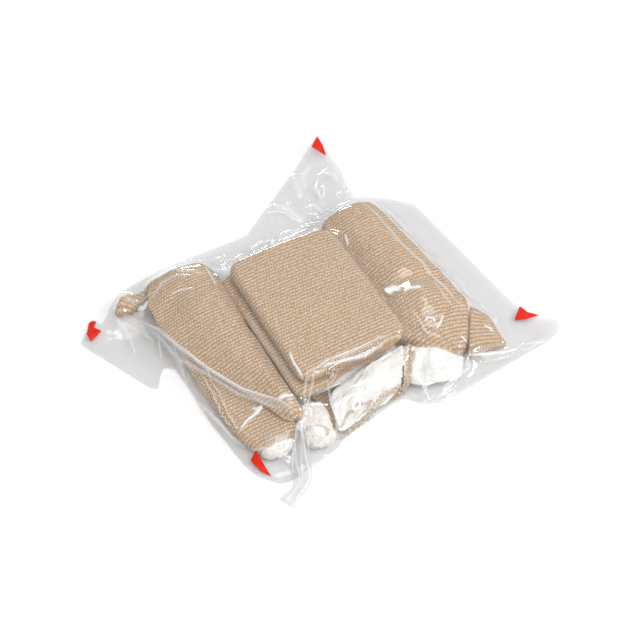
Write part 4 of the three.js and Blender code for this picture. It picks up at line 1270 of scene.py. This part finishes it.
CREASES = [
    # line in the bandage's frame; height; half width; share kept where the film is taut; whiteness, which up
    # to 1 is the doubled film's and above 1 is a painted highlight
    ([(-73, 43), (-68.4, 28.5), (-65, 14), (-58.8, -5.8), (-50.3, -25.1), (-41.4, -38.1), (-34, -51)],
     0.9, 0.65, 1, 0.9),
    ([(-72.4, 38), (-69.4, 26.5), (-66.6, 10), (-60.6, -6.8), (-52.3, -26), (-43.6, -39.6), (-38, -49)],
     0.5, 0.6, 1, 0.6),
    ([(-70.6, 33), (-65.8, 12), (-59.6, -6.2), (-51.2, -25.6), (-42.4, -39), (-35.8, -50.6)],
     0.5, 0.9, 1, 0.3),
    ([(-65.1, 19.5), (-66.6, 9.1), (-67.4, -0.9)], 0.8, 0.8, 0.6, 0.5),
    ([(-67.4, 29.5), (-70.4, 22), (-72.8, 15)], 0.7, 0.6, 0.5, 0.5),
    ([(-70.4, 7.9), (-69, -8), (-66.4, -24), (-63.8, -42), (-60.6, -53)], 0.6, 0.6, 0.5, 0.8),
    ([(-72, -4), (-71, -20), (-70, -38)], 0.4, 0.8, 0.5, 0.5),
    ([(54.8, 53.9), (56.3, 40.5), (56.8, 29.4), (56.7, 15.8), (59.7, 3.7), (60.9, -13), (63.4, -27),
      (66.8, -33.2)], 0.45, 0.7, 1, 0.4),
    ([(50.3, 33.7), (54.6, 27.5), (56.1, 14.6)], 0.3, 0.6, 1, 0.3),
    ([(58.6, -10), (58.2, -22), (60, -30)], 0.4, 0.6, 1, 0.4),
    # whitens the film over the dark slit and the strip by the block's left side: film haze, and painted light
    # that lifts their shade
    ([(-31.2, 10), (-31.3, -10), (-30.8, -44)], 0.3, 1.6, 1, 0.14),
    # painted highlights: the lens outline along the block's front edge and down its left front corner
    ([(-23.4, -38.6), (-11.5, -37.2), (4, -37.3), (15.2, -35.8), (18.4, -37.7)], 0.15, 0.45, 1, 1.3),
    ([(-20, -39.2), (-10.3, -39.9), (4.5, -41.1), (12.9, -40), (18.2, -38.2)], 0.2, 0.5, 1, 1.1),
    ([(-25.4, -23.9), (-26.7, -31.3), (-26.5, -39.6)], 0.2, 0.5, 1, 1.3),
    # painted highlights: glare patches and hooks on the right fold
    ([(34, -8), (37.6, -6.6), (42.6, -6.4)], 0.2, 2.4, 1, 1.3),
    ([(42.2, -10.5), (46.1, -11.2), (50.6, -12.8)], 0.3, 1.3, 1, 1.3),
    ([(42.1, -30.5), (44.6, -29), (46.8, -30.8), (46.6, -33.1)], 0.3, 0.5, 1, 1.2),
    ([(47.5, -30.5), (51.9, -31.4), (48.6, -34.3), (45.3, -36.1)], 0.3, 0.55, 1, 1.2),
    ([(54.7, -42.8), (56.4, -45.5)], 0.2, 0.6, 1, 1),
    ([(36.6, 36.8), (34.6, 31), (32.4, 26.1)], 0.1, 0.5, 1, 1),
    # painted highlights: glare on the left under fold
    ([(-60.9, -43.3), (-55.2, -40), (-49.9, -38.5), (-46.1, -37.9)], 0.4, 0.7, 1, 1.3),
    ([(-50.6, -34.9), (-48.8, -37.2), (-46.1, -37.9)], 0.3, 0.8, 1, 1.2),
    ([(-40.1, -40.2), (-36.3, -40.7), (-32.4, -42.1)], 0.4, 0.7, 1, 1.2),
    ([(-55.6, 40.8), (-50.5, 40.5), (-44.1, 37.3)], 0.3, 0.5, 1, 0.9),
    ([(-33.1, 49.5), (-33.9, 40), (-34.9, 32.4)], 0.4, 0.5, 1, 0.7),
    ([(-13.4, 45.4), (-7.6, 45.3), (-0.3, 49), (7, 53.6)], 0.6, 0.8, 1, 1.3),
    ([(-54, -58), (-48, -56.4), (-42, -57)], 0, 4, 1, 0.3),
    ([(-31, -50), (-28, -57), (-27, -66)], 0, 5, 1, 0.32),
    ([(55, -52.5), (62.4, -53.6), (70.5, -55.6), (80, -56.4)], 0.9, 0.8, 0.6, 1.1),
    ([(59.7, -55.6), (66.6, -57), (75, -57.6)], -0.5, 1.2, 0.5, 0.3),
    ([(69, -40.3), (71.4, -42.6), (71.5, -45.1)], 0.3, 0.6, 1, 1.1),
    ([(22, -60.6), (26.3, -64.9), (34, -65.6), (46.5, -64.8), (66.5, -62)], 0.7, 0.8, 0.4, 0.4),
    ([(-10.4, -50.9), (-13.7, -52.9), (-15.8, -58.2)], 0.3, 0.5, 0.8, 0.9),
    ([(48.5, 88), (44.4, 82.9), (43.2, 74.5)], 1, 1, 0.3, 0.9),
    ([(49.4, 83.9), (46.9, 77.9), (44.6, 74.9)], 0.8, 0.7, 0.3, 0.8),
    ([(52.9, 90.3), (56.8, 88.2), (57.9, 83)], 1, 1.6, 0.3, 0.4),
    ([(40, 97.9), (36.5, 90.7), (35.8, 79.6)], 1, 2.4, 0.3, 0.3),
    ([(50.1, 98), (42.5, 92.9), (39.3, 83.8)], 0.9, 1.6, 0.3, 0.35),
    ([(33.1, 74.5), (38.7, 73.3), (40, 66.1), (43.4, 60.8)], 1.2, 1.2, 0.3, 0.6),
    ([(33.6, 65.9), (37, 62.6), (45.4, 62.3)], 1, 1.4, 0.3, 0.7),
    ([(19, 80.6), (25.3, 75.2), (29.7, 65.6)], 1, 2, 0.3, 0.3),
    ([(8.3, 62.1), (7.9, 58.9), (6, 56.4)], 1, 1.3, 0.5, 1.2),
    ([(12.4, 60.5), (19.3, 57.4), (24.9, 51.6)], 0.9, 0.9, 0.5, 1.1),
    ([(-70.6, 46.3), (-68.2, 43.7), (-64.7, 45.1)], 0.8, 1.1, 0.6, 1.2),
    ([(-79.2, 36.7), (-80.6, 30.2), (-81.6, 26.5)], 0.8, 0.6, 0.3, 0.5),
    ([(-68, -1.8), (-67.3, -2.3)], 0.5, 1, 0.5, 1),
    ([(-57.7, -54.5), (-52.2, -58.6), (-44.3, -66)], 0.6, 0.7, 0.5, 0.7),
    ([(-37.5, -53.7), (-35.6, -55.4)], 0.3, 1.2, 1, 1.2),
    ([(-22.4, -36.4), (-24, -39), (-28.4, -44), (-30.2, -49)], 0.8, 0.5, 0.8, 0.5),
    ([(-21, -38), (-26.4, -42.4), (-31, -46)], -0.6, 0.7, 0.7, 0.1),
    ([(-19, -37), (-22.4, -41.6), (-28, -47), (-29.4, -52)], 0.7, 0.55, 0.7, 0.45),
    ([(-25, -39), (-10, -38.6), (6, -37.6), (20, -36.4)], 0.25, 1.2, 1, 0.22),
    ([(-39.4, -40.4), (-36.6, -39.6), (-33.3, -39.9)], 0.7, 0.9, 0.8, 0.3),
    ([(-60, -42), (-50.3, -37.3), (-45.9, -37.5)], 0.6, 0.8, 0.9, 0.3),
    ([(23.1, -51.6), (26.4, -55.3), (26.5, -61.6), (25.7, -66.2)], 1.3, 0.7, 0.5, 0.6),
    ([(25.7, -66.2), (33.1, -62.8), (41.6, -59), (50, -55)], 0.9, 0.8, 0.5, 0.55),
    ([(23.6, -50.7), (30.3, -54.8), (41.8, -58.8)], 0.5, 0.7, 0.8, 0.3),
    ([(23.1, -51.6), (13.8, -47), (-3.9, -43.1)], 0.45, 0.8, 0.8, 0.2),
    ([(22.3, -51.4), (10.8, -49.6), (-14.9, -47.9)], 0.5, 0.8, 0.8, 0.2),
    ([(53.9, -50.9), (51.3, -57.1), (40.6, -61.2), (27.6, -66.1)], 0.8, 0.8, 0.4, 0.45),
    ([(53, -51), (62, -55), (74, -57)], 0.9, 0.9, 0.4, 0.35),
    ([(60, -53), (72, -60), (86, -60)], -0.8, 1.4, 0.2, 0),
    ([(71, -57), (80, -55), (92.1, -58.1)], 0.8, 1.2, 0.2, 0.3),
    ([(-60.6, -52.5), (-52.9, -59.3), (-46, -66.9)], 0.8, 0.6, 0.6, 0.5),
    ([(-16.1, -42.4), (-17.9, -50.8), (-18.5, -57.6), (-23.4, -64.4), (-29.7, -68)], 0.6, 0.6, 0.7, 0.5),
    ([(-14.2, -64.6), (5.4, -60.1), (20.9, -56.8)], 0.5, 0.8, 0.3, 0.3),
    ([(46.6, 83.6), (43.7, 77), (42.1, 69.8)], 1.5, 1.1, 0.3, 0.2),
    ([(46, 85.6), (50.5, 89.8), (57.4, 91.9)], 1.1, 1, 0.3, 0.2),
    ([(37.7, 94.9), (34.4, 86.4), (26.8, 77.1)], 1, 1.5, 0.3, 0),
    ([(36.8, 82.3), (38.6, 73.8)], 0.9, 0.8, 0.3, 0.2),
    ([(49.5, 80.4), (48.8, 75.9), (51, 71.5), (56.6, 73.4)], 0.9, 0.8, 0.3, 0.2),
    ([(34, 69.3), (36.8, 66.2), (42.1, 63.4), (43.1, 57)], 1.4, 1, 0.3, 0.3),
    ([(30, 66), (38, 61), (47, 60)], -1, 1.2, 0.2, 0),
    ([(6.3, 76.3), (14.3, 80.3), (24.9, 78.9), (34, 74)], 1.2, 1.4, 0.3, 0),
    ([(12.7, 62.4), (19.6, 63), (30, 61.7)], 1, 0.9, 0.4, 0.3),
    ([(-3.8, 60), (3.7, 61.8), (10.2, 59.5), (16.8, 55.3)], 1.2, 0.9, 0.4, 0.4),
    ([(-20, 58), (-12, 54), (-2, 52)], 1.3, 1.1, 0.4, 0.3),
    ([(-34, 64), (-24, 60), (-12, 60)], 0.9, 1.1, 0.3, 0.2),
    ([(80.1, -6.4), (86.9, -1.7), (87.2, -8.6)], 0.5, 1, 0.1, 0),
    ([(74, 6), (80, 14), (84, 28)], 0.4, 2, 0.1, 0),
    ([(-75.5, 56.4), (-68, 47.6), (-61.6, 48.6)], 1, 0.8, 0.5, 0.4),
    ([(-80, 44), (-74, 36), (-72, 26)], 1.1, 0.8, 0.4, 0.4),
    ([(-84, 52), (-80, 40), (-81, 28)], 0.9, 1, 0.3, 0.2),
    ([(-64, 44), (-56, 50), (-48, 50), (-40, 44)], 0.7, 0.7, 0.9, 0.4),
    ([(-50, 58), (-44, 50), (-34, 44)], 0.8, 0.8, 0.7, 0.3),
]


@dataclass
class Crease:
    """A ridge or dent of the film along a line in plan.

    Attributes:
        path: Points of the line in the bandage's frame.
        height: How far it stands up, or down if below zero.
        width: Half its width.
        taut: Share of the height that it keeps where the film lies tight on the contents.
        white: How white the film is along it: up to 1 the doubled film's own whiteness, and above 1 a painted
            highlight with ragged edges.
    """

    path: list
    height: float
    width: float
    taut: float
    white: float

    def over(self, x: np.ndarray, y: np.ndarray) -> np.ndarray:
        """Bell of the distance from each point to the line, 1 on it, fading towards its ends."""
        points = np.array(self.path, float)
        steps = np.linalg.norm(np.diff(points, axis=0), axis=1)
        best = np.full(x.shape, FAR)
        share = np.zeros(x.shape)
        done = 0.0
        for (ax, ay), (bx, by), length in zip(points[:-1], points[1:], steps):
            dx, dy = bx - ax, by - ay
            t = np.clip(((x - ax) * dx + (y - ay) * dy) / length**2, 0, 1)
            distance = np.hypot(x - ax - t * dx, y - ay - t * dy)
            nearer = distance < best
            best = np.where(nearer, distance, best)
            share = np.where(nearer, (done + t * length) / steps.sum(), share)
            done += length
        fade = np.clip(4 * share * (1 - share), 0, 1) ** 0.5
        return fade * np.exp(-((best / self.width) ** 2))


def inside_outline(x: np.ndarray, y: np.ndarray, outline: np.ndarray) -> np.ndarray:
    """True where a plan point lies inside a closed outline, by counting crossings to its right."""
    inside = np.zeros(x.shape, bool)
    for (ax, ay), (bx, by) in zip(outline, np.roll(outline, -1, axis=0)):
        if ay == by:
            continue
        crosses = (ay > y) != (by > y)
        inside ^= crosses & (x < ax + (y - ay) * (bx - ax) / (by - ay))
    return inside


def rounded_outline(outline: np.ndarray, spacing: float, ease: int) -> np.ndarray:
    """An outline resampled evenly and eased by a short moving average."""
    closed = np.vstack([outline, outline[:1]])
    length = path_lengths(closed)
    at = np.linspace(0, length[-1], int(length[-1] / spacing), endpoint=False)
    even = sampled(closed, length, at)
    wrapped = np.vstack([even[-ease:], even, even[:ease]])
    return np.stack([np.convolve(c, bell(2 * ease + 3)[1:-1], mode="valid") for c in wrapped.T], 1)


@dataclass
class Pouch:
    """The vacuum pouch: a lower sheet, an upper sheet drawn over the contents, a rolled tip and marks.

    Attributes:
        map: Heights of the contents, on whose grid the film is worked out.
        pull: How strongly the vacuum bends free film, as its curvature.
        gap: Distance between the film and what it lies on.
        reach: How far inwards a lifted rim takes the film with it.
    """

    map: HeightMap
    pull: float = 0.12
    gap: float = 0.14
    reach: float = 17.0

    def __post_init__(self) -> None:
        """Works out the rim and the lower sheet's height."""
        self.x, self.y, self.cell = self.map.x, self.map.y, self.map.cell
        self.centre = block_centre()
        self.rim = rounded_outline(RIM[:, :2] + self.centre, 0.8, 2)
        self.inside = inside_outline(self.x, self.y, self.rim)
        self.floor = np.minimum(self.lifts(), np.maximum(blurred(self.map.low, 2, 2) - 0.2, FLOOR))
        self.film = FilmFinish().build()
        self.tube_film = FilmFinish("film_rolled", (0.955, 0.956, 0.958, 1), haze=0.16, dent=0.6).build()
        self.under_film = FilmFinish("film_lower", (0.915, 0.915, 0.916, 1), dent=0.5).build()

    def lifts(self) -> np.ndarray:
        """How high the lower sheet stands: the rim's height, fading inwards over the reach.

        Each grid point takes the rim's heights by weights of one over the squared distance squared.
        """
        rim = np.vstack([RIM, RIM[:1]])
        length = path_lengths(rim[:, :2])
        points = sampled(rim, length, np.linspace(0, length[-1], 150, endpoint=False))
        points[:, :2] += self.centre
        total = np.zeros(self.x.shape)
        weights = np.zeros(self.x.shape)
        nearest = np.full(self.x.shape, FAR)
        for px, py, pz in points:
            square = (self.x - px) ** 2 + (self.y - py) ** 2 + 4
            total += pz / square**2
            weights += 1 / square**2
            nearest = np.minimum(nearest, square)
        return FLOOR + np.maximum(total / weights - 0.9, 0) * np.exp(-nearest / self.reach**2)

    def drape(self) -> np.ndarray:
        """Height of the upper sheet: a tight skin over the contents.

        From coarse to fine grids, each free cell goes to its neighbours' mean less the vacuum's pull,
        and never below the contents or the lower sheet. At the rim both sheets meet.
        """
        top = blurred(self.map.spread(self.map.top), 2, 2) + 0.12
        least = np.where(self.inside, np.maximum(top, self.floor + self.gap), self.floor + self.gap)
        height = None
        for step in (8, 4, 2, 1):
            rows, columns = (n // step for n in least.shape)
            low, free = (
                table[: rows * step, : columns * step].reshape(rows, step, columns, step)
                for table in (least, self.inside)
            )
            low, free = low.mean((1, 3)), free.all((1, 3))
            height = np.full(low.shape, START_HEIGHT) if height is None else self.refine(height, low.shape)
            height = np.where(free, np.maximum(height, low), low)
            bend = self.pull * (self.cell * step) ** 2 / 4
            for _ in range(SINK_ROUNDS):
                mean = np.zeros_like(height)
                beside = height[:-2, 1:-1] + height[2:, 1:-1] + height[1:-1, :-2] + height[1:-1, 2:]
                mean[1:-1, 1:-1] = beside / 4
                height = np.where(free, np.maximum(mean - bend, low), low)
        return height

    @staticmethod
    def refine(height: np.ndarray, shape: tuple) -> np.ndarray:
        """A grid stretched to a finer one, joined linearly."""
        rows, columns = (np.linspace(0, had - 1, wanted) for had, wanted in zip(height.shape, shape))
        row, column = rows.astype(int), columns.astype(int)
        padded = np.pad(height, ((0, 1), (0, 1)), mode="edge")
        return between(padded, row[:, None], column, (rows - row)[:, None], columns - column)

    def facets(self) -> np.ndarray:
        """Crumpled film: triangle waves in five directions, whose lines are bent by slow noise."""
        out = np.zeros(self.x.shape)
        turns = ((12, 17.0, 0.34), (64, 12.0, 0.26), (101, 21.0, 0.4), (139, 9.0, 0.18), (170, 14.0, 0.26))
        for number, (turn, length, height) in enumerate(turns):
            bend = 0.35 * smooth_noise(self.x.shape, 44, 70 + number)
            phase = turned(self.x, self.y, math.radians(-turn))[0] / length + bend
            wave = 2 * np.abs(2 * (phase - np.floor(phase + 0.5))) - 1
            here = np.clip(0.5 + smooth_noise(self.x.shape, 50, 90 + number), 0, 1)
            out += height * wave * here
        return out

    def wrinkled(self, height: np.ndarray) -> tuple[np.ndarray, np.ndarray]:
        """The draped sheet with its creases, and facets where nothing is right under it.

        Returns:
            The sheet's height, and how white its lines are: doubled film, and painted highlights where a
            crease is whiter than 1.
        """
        top = self.map.spread(self.map.top)
        slack = blurred(np.clip((height - top - 0.5) / 2.5, 0, 1) * self.inside, 2, 1)
        rim = np.clip(blurred(self.inside.astype(float), 4, 2) * 2 - 1, 0, 1)
        lowest = np.maximum(blurred(top, 2, 1) + 0.06, self.floor + self.gap)
        free = blurred(np.clip((height - top - 0.4) / 0.8, 0, 1), 1, 1) * rim
        calm = np.maximum(height + (blurred(height, 4, 2) - height) * free, lowest)
        out = calm + blurred(self.facets(), 1, 1) * slack * (0.15 + 0.85 * rim)
        out = blurred(np.where(self.inside, np.maximum(out, lowest), self.floor + self.gap), 2, 2)
        least = np.minimum(out, lowest)
        white = np.zeros(self.x.shape)
        # painted highlights: the creases whiter than 1 get ragged edges from this noise
        ragged = 0.5 * smooth_noise(self.x.shape, 5, 130)
        bx, by = to_bandage(self.x, self.y)
        for crease in (Crease(*row) for row in CREASES):
            line = crease.over(bx, by)
            out += crease.height * line * (crease.taut + (1 - crease.taut) * slack) * rim
            uneven = ragged if crease.white > 1 else 0
            glint = np.clip(1.8 * line - 0.25 + uneven, 0, 1) * (line > 0.05)
            white = np.maximum(white, crease.white * glint)
        out = np.maximum(np.maximum(out, least), self.floor + self.gap)
        return np.where(self.inside, out, self.floor + self.gap), white

    def sheet_skin(self, height: np.ndarray, facing: int, step: int = 1) -> tuple[Skin, np.ndarray]:
        """A film sheet over the grid cells inside the rim, its outermost points moved onto the rim.

        Args:
            height: Height at each grid point.
            facing: 1 if it faces up, and -1 if it faces down.
            step: Grid cells per face.

        Returns:
            The sheet's skin, one face thick, and the grid number of each of its points.
        """
        x, y, z = (a[::step, ::step] for a in (self.x, self.y, height))
        keep = self.inside[::step, ::step]
        cell = keep[:-1, :-1] & keep[1:, :-1] & keep[:-1, 1:] & keep[1:, 1:]
        j, i = np.nonzero(cell)
        wide = x.shape[1]
        quads = np.stack([j * wide + i, j * wide + i + 1, (j + 1) * wide + i + 1, (j + 1) * wide + i], 1)
        if facing < 0:
            quads = quads[:, ::-1]
        points = np.stack([x, y, z], -1).reshape(-1, 3)
        cells_at = np.bincount(quads.ravel(), minlength=len(points))
        border = (cells_at > 0) & (cells_at < 4)
        points[border, :2] = self.onto_rim(points[border, :2])
        used = np.nonzero(cells_at)[0]
        number = np.full(len(points), -1)
        number[used] = np.arange(len(used))
        corners = number[quads].ravel()
        kept = points[used]
        return Skin(kept, corners, np.arange(len(quads)) * 4, kept[corners, :2]), used

    def onto_rim(self, points: np.ndarray) -> np.ndarray:
        """The nearest point of the rim for each plan point."""
        step = np.roll(self.rim, -1, axis=0) - self.rim
        t = np.einsum("pnk,nk->pn", points[:, None] - self.rim, step) / (step**2).sum(1)
        near = self.rim + np.clip(t, 0, 1)[..., None] * step
        distance = np.linalg.norm(points[:, None] - near, axis=-1)
        return near[np.arange(len(points)), distance.argmin(1)]

    def height_at(self, x: np.ndarray, y: np.ndarray) -> np.ndarray:
        """The upper sheet's height at plan points."""
        return self.map.read(self.upper, x, y)

    def sheets(self) -> None:
        """Builds both film sheets."""
        self.upper, white = self.wrinkled(self.drape())
        skin, used = self.sheet_skin(self.upper, 1)
        upper = make_piece("pouch_upper_sheet", skin, self.film)
        mark_pleats_and_glints(upper, white.ravel()[used])
        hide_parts("pouch_upper_film")
        skin, _ = self.sheet_skin(self.floor, -1, 2)
        lower = make_piece("pouch_lower_sheet", skin, self.under_film)
        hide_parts("pouch_lower_film")
        for piece in (upper, lower):
            LOG.info("%s area %.5f m2", piece.name, sum(p.area for p in piece.data.polygons))

    def tip(self) -> None:
        """Builds the rolled tip: a crushed tube of film from the neck over the folds to its open end.

        Its centre line bends at an elbow; its half width goes from station to station; three and five
        lengthwise creases run round it; and it lies on the film or the floor.
        """
        path = np.array(
            [(-48.2, -43.4, 1.8), (-50.6, -46.4, 2.6), (-54.2, -50.6, 3.8), (-58.4, -55.6, 4.3),
             (-61.4, -60.6, 4), (-66, -64, 3.2), (-71, -65.6, 3.1), (-76.8, -67.2, 3.9)]
        )
        path[:, :2] += self.centre
        length = path_lengths(path[:, :2])
        at = np.linspace(0, length[-1], 90)
        line = eased(sampled(path, length, at), 6)
        tangent = np.gradient(line[:, :2], axis=0)
        side = unit(np.stack([-tangent[:, 1], tangent[:, 0]], 1))
        share = np.linspace(0, 1, len(at))[:, None]
        angle = np.linspace(0, 2 * np.pi, 48, endpoint=False)[None]
        crush = 1 + 0.09 * np.cos(3 * angle + 4 * share) + 0.05 * np.cos(5 * angle - 7 * share)
        wide = line[:, 2:] * crush * np.cos(angle)
        tall = 1.15 * crush * np.sin(angle)
        inside = inside_outline(line[:, 0], line[:, 1], self.rim)
        under = np.where(inside, self.height_at(line[:, 0], line[:, 1]), 0.3)
        under = np.convolve(np.pad(under, 4, mode="edge"), np.full(9, 1 / 9), mode="valid")
        rings = np.zeros((*wide.shape, 3))
        rings[..., :2] = line[:, None, :2] + wide[..., None] * side[:, None]
        rings[..., 2] = np.maximum(under[:, None] + 1.5 + tall, 0.3 + 0.2 * crush)
        around = arc_lengths(rings, 0)
        skin = tube_skin(rings, around, np.broadcast_to(at[:, None], around.shape))
        piece = make_piece("rolled_film_tip", skin, self.tube_film)
        crest = np.clip(np.abs(np.cos(2.5 * angle + 2 * share)) * 6 - 5.2, 0, 1) * np.ones_like(share)
        mark_pleats_and_glints(piece, 0.7 * crest.ravel())
        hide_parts("pouch_rolled_tip")

    def marks(self) -> None:
        """Builds the four red tear marks as thin plates that lie on the film."""
        ink = RedPrintFinish().build()
        for name, outline in MARKS.items():
            skin = self.plate(np.array(outline) + self.centre)
            piece = make_piece(f"red_mark_{name}", skin, ink)
            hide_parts(f"tear_mark_{name}")

    def plate(self, outline: np.ndarray) -> Skin:
        """A thin closed plate on the film inside an outline.

        Rings run from the outline's middle outwards on the top, and back inwards underneath.
        """
        edge = rounded_outline(outline, 0.3, 1)
        middle = edge.mean(axis=0)
        shares = np.concatenate([np.linspace(0.04, 1, 14), np.linspace(1, 0.04, 14)])
        lift = np.repeat([0.28, 0.12], 14)
        plan = middle + (edge - middle)[None] * shares[:, None, None]
        z = self.height_at(plan[..., 0], plan[..., 1]) + lift[:, None]
        rings = np.concatenate([plan, z[..., None]], -1)
        around = arc_lengths(rings, 0)
        return tube_skin(rings, around, np.broadcast_to(shares[:, None] * 5, around.shape))

    def build(self) -> None:
        """Builds the pouch over the contents."""
        self.sheets()
        self.tip()
        self.marks()


def mark_pleats_and_glints(piece: bpy.types.Object, white: np.ndarray) -> None:
    """Writes how white each point of a film piece is, for its finish: its doubled lines, and the painted
    highlights along its glint lines.
    """
    layer = piece.data.attributes.new("pleat_and_glint", "FLOAT", "POINT")
    layer.data.foreach_set("value", white.astype(np.float32))


# --- The studio ---


@dataclass
class Softbox:
    """A rectangular lamp that faces the part.

    Attributes:
        name: The lamp's name.
        azimuth: Direction round the part in degrees, 0 along +X and 90 along +Y.
        elevation: Angle over the floor in degrees.
        distance: Distance from the part in metres.
        size: Width and height in metres.
        power: Watts.
        mirrored: Whether glossy surfaces show it.
    """

    name: str
    azimuth: float
    elevation: float
    distance: float
    size: tuple
    power: float
    mirrored: bool = True

    def build(self) -> None:
        """Makes the lamp and turns it towards the part."""
        lamp = bpy.data.lights.new(self.name, "AREA")
        lamp.shape = "RECTANGLE"
        lamp.size, lamp.size_y = self.size
        lamp.energy = self.power
        holder = into_scene(self.name, lamp)
        aim(holder, direction(self.azimuth, self.elevation), np.zeros(3), self.distance)
        holder.visible_glossy = self.mirrored


def direction(azimuth: float, elevation: float) -> np.ndarray:
    """Unit vector at an azimuth from +X and an elevation, both in degrees."""
    a, e = math.radians(azimuth), math.radians(elevation)
    return np.array([math.cos(a) * math.cos(e), math.sin(a) * math.cos(e), math.sin(e)])


def aim(holder: bpy.types.Object, back: np.ndarray, target: np.ndarray, distance: float) -> None:
    """Puts a lamp or a camera at a distance from its target along back, and turns it to the target."""
    side = unit(np.cross([0, 0, 1.0], back))
    rows = np.column_stack([side, np.cross(back, side), back, target + back * distance]).tolist()
    holder.matrix_world = type(holder.matrix_world)([*rows, [0, 0, 0, 1]])


@dataclass
class Studio:
    """Floor, light and camera, at the photograph's viewing angle."""

    azimuth: float = -42.5
    elevation: float = 48.5
    distance: float = 826.2
    lens: float = 98.72

    def camera(self) -> None:
        """Places the camera by its angles round a point near the block."""
        target = np.append(block_centre(), 0) + TARGET_OFFSET
        lens = bpy.data.cameras.new("studio_camera")
        lens.lens = self.lens
        lens.sensor_width = 36
        lens.clip_start = 0.01
        camera = into_scene("studio_camera", lens)
        aim(camera, direction(self.azimuth - 90, self.elevation), target * MM, self.distance * MM)
        bpy.context.scene.camera = camera

    def floor(self) -> None:
        """Lays a plain pale floor."""
        material, bench = new_material("studio_floor")
        bench.surface(bench.principled((0.93, 0.93, 0.93, 1), 0.9, {"Specular IOR Level": 0.1}))
        mesh = bpy.data.meshes.new("studio_floor")
        half, level = 3.0, -0.0002
        corners = [(-half, -half, level), (half, -half, level), (half, half, level), (-half, half, level)]
        mesh.from_pydata(corners, [], [(0, 1, 2, 3)])
        mesh.materials.append(material)
        floor = into_scene("studio_floor", mesh)
        floor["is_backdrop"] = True

    def light(self) -> None:
        """Sets an even white surround and the softboxes."""
        world = bpy.data.worlds.new("studio_surround")
        world.use_nodes = True
        background = world.node_tree.nodes["Background"]
        background.inputs["Color"].default_value = (1, 1, 1, 1)
        background.inputs["Strength"].default_value = 0.4
        bpy.context.scene.world = world
        for box in (
            Softbox("fill_overhead", -120, 64, 1.5, (1.3, 1.3), 15.0, mirrored=False),
            Softbox("back_strip", 60, 20, 1.3, (0.3, 0.12), 2.3),
            Softbox("high_panel", 20, 74, 1.5, (0.5, 0.4), 1.7),
            Softbox("front_strip", -76, 42, 1.3, (0.5, 0.09), 3),
            Softbox("right_box", -35, 34, 1.3, (0.3, 0.2), 3.5),
        ):
            box.build()
        scene = bpy.context.scene
        scene.view_settings.view_transform = "Standard"
        scene.view_settings.look = "None"
        scene.view_settings.exposure = 0.0

    def build(self) -> None:
        """Builds the studio."""
        self.camera()
        self.floor()
        self.light()


def main() -> None:
    """Builds the studio, the bandage and its pouch."""
    logging.basicConfig(level=logging.INFO, format="%(name)s: %(message)s")
    Studio().build()
    wrap = FoldedWrap()
    wrap.build()
    Pouch(wrap.map).build()
    bpy.context.view_layer.update()
    sizes = {"cad": CAD_BOUNDS, "visual": [list(corner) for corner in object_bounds()]}
    for name, (low, high) in sizes.items():
        LOG.info("%s box %s %s", name, np.round(low, 4), np.round(high, 4))


if __name__ == "__main__":
    main()
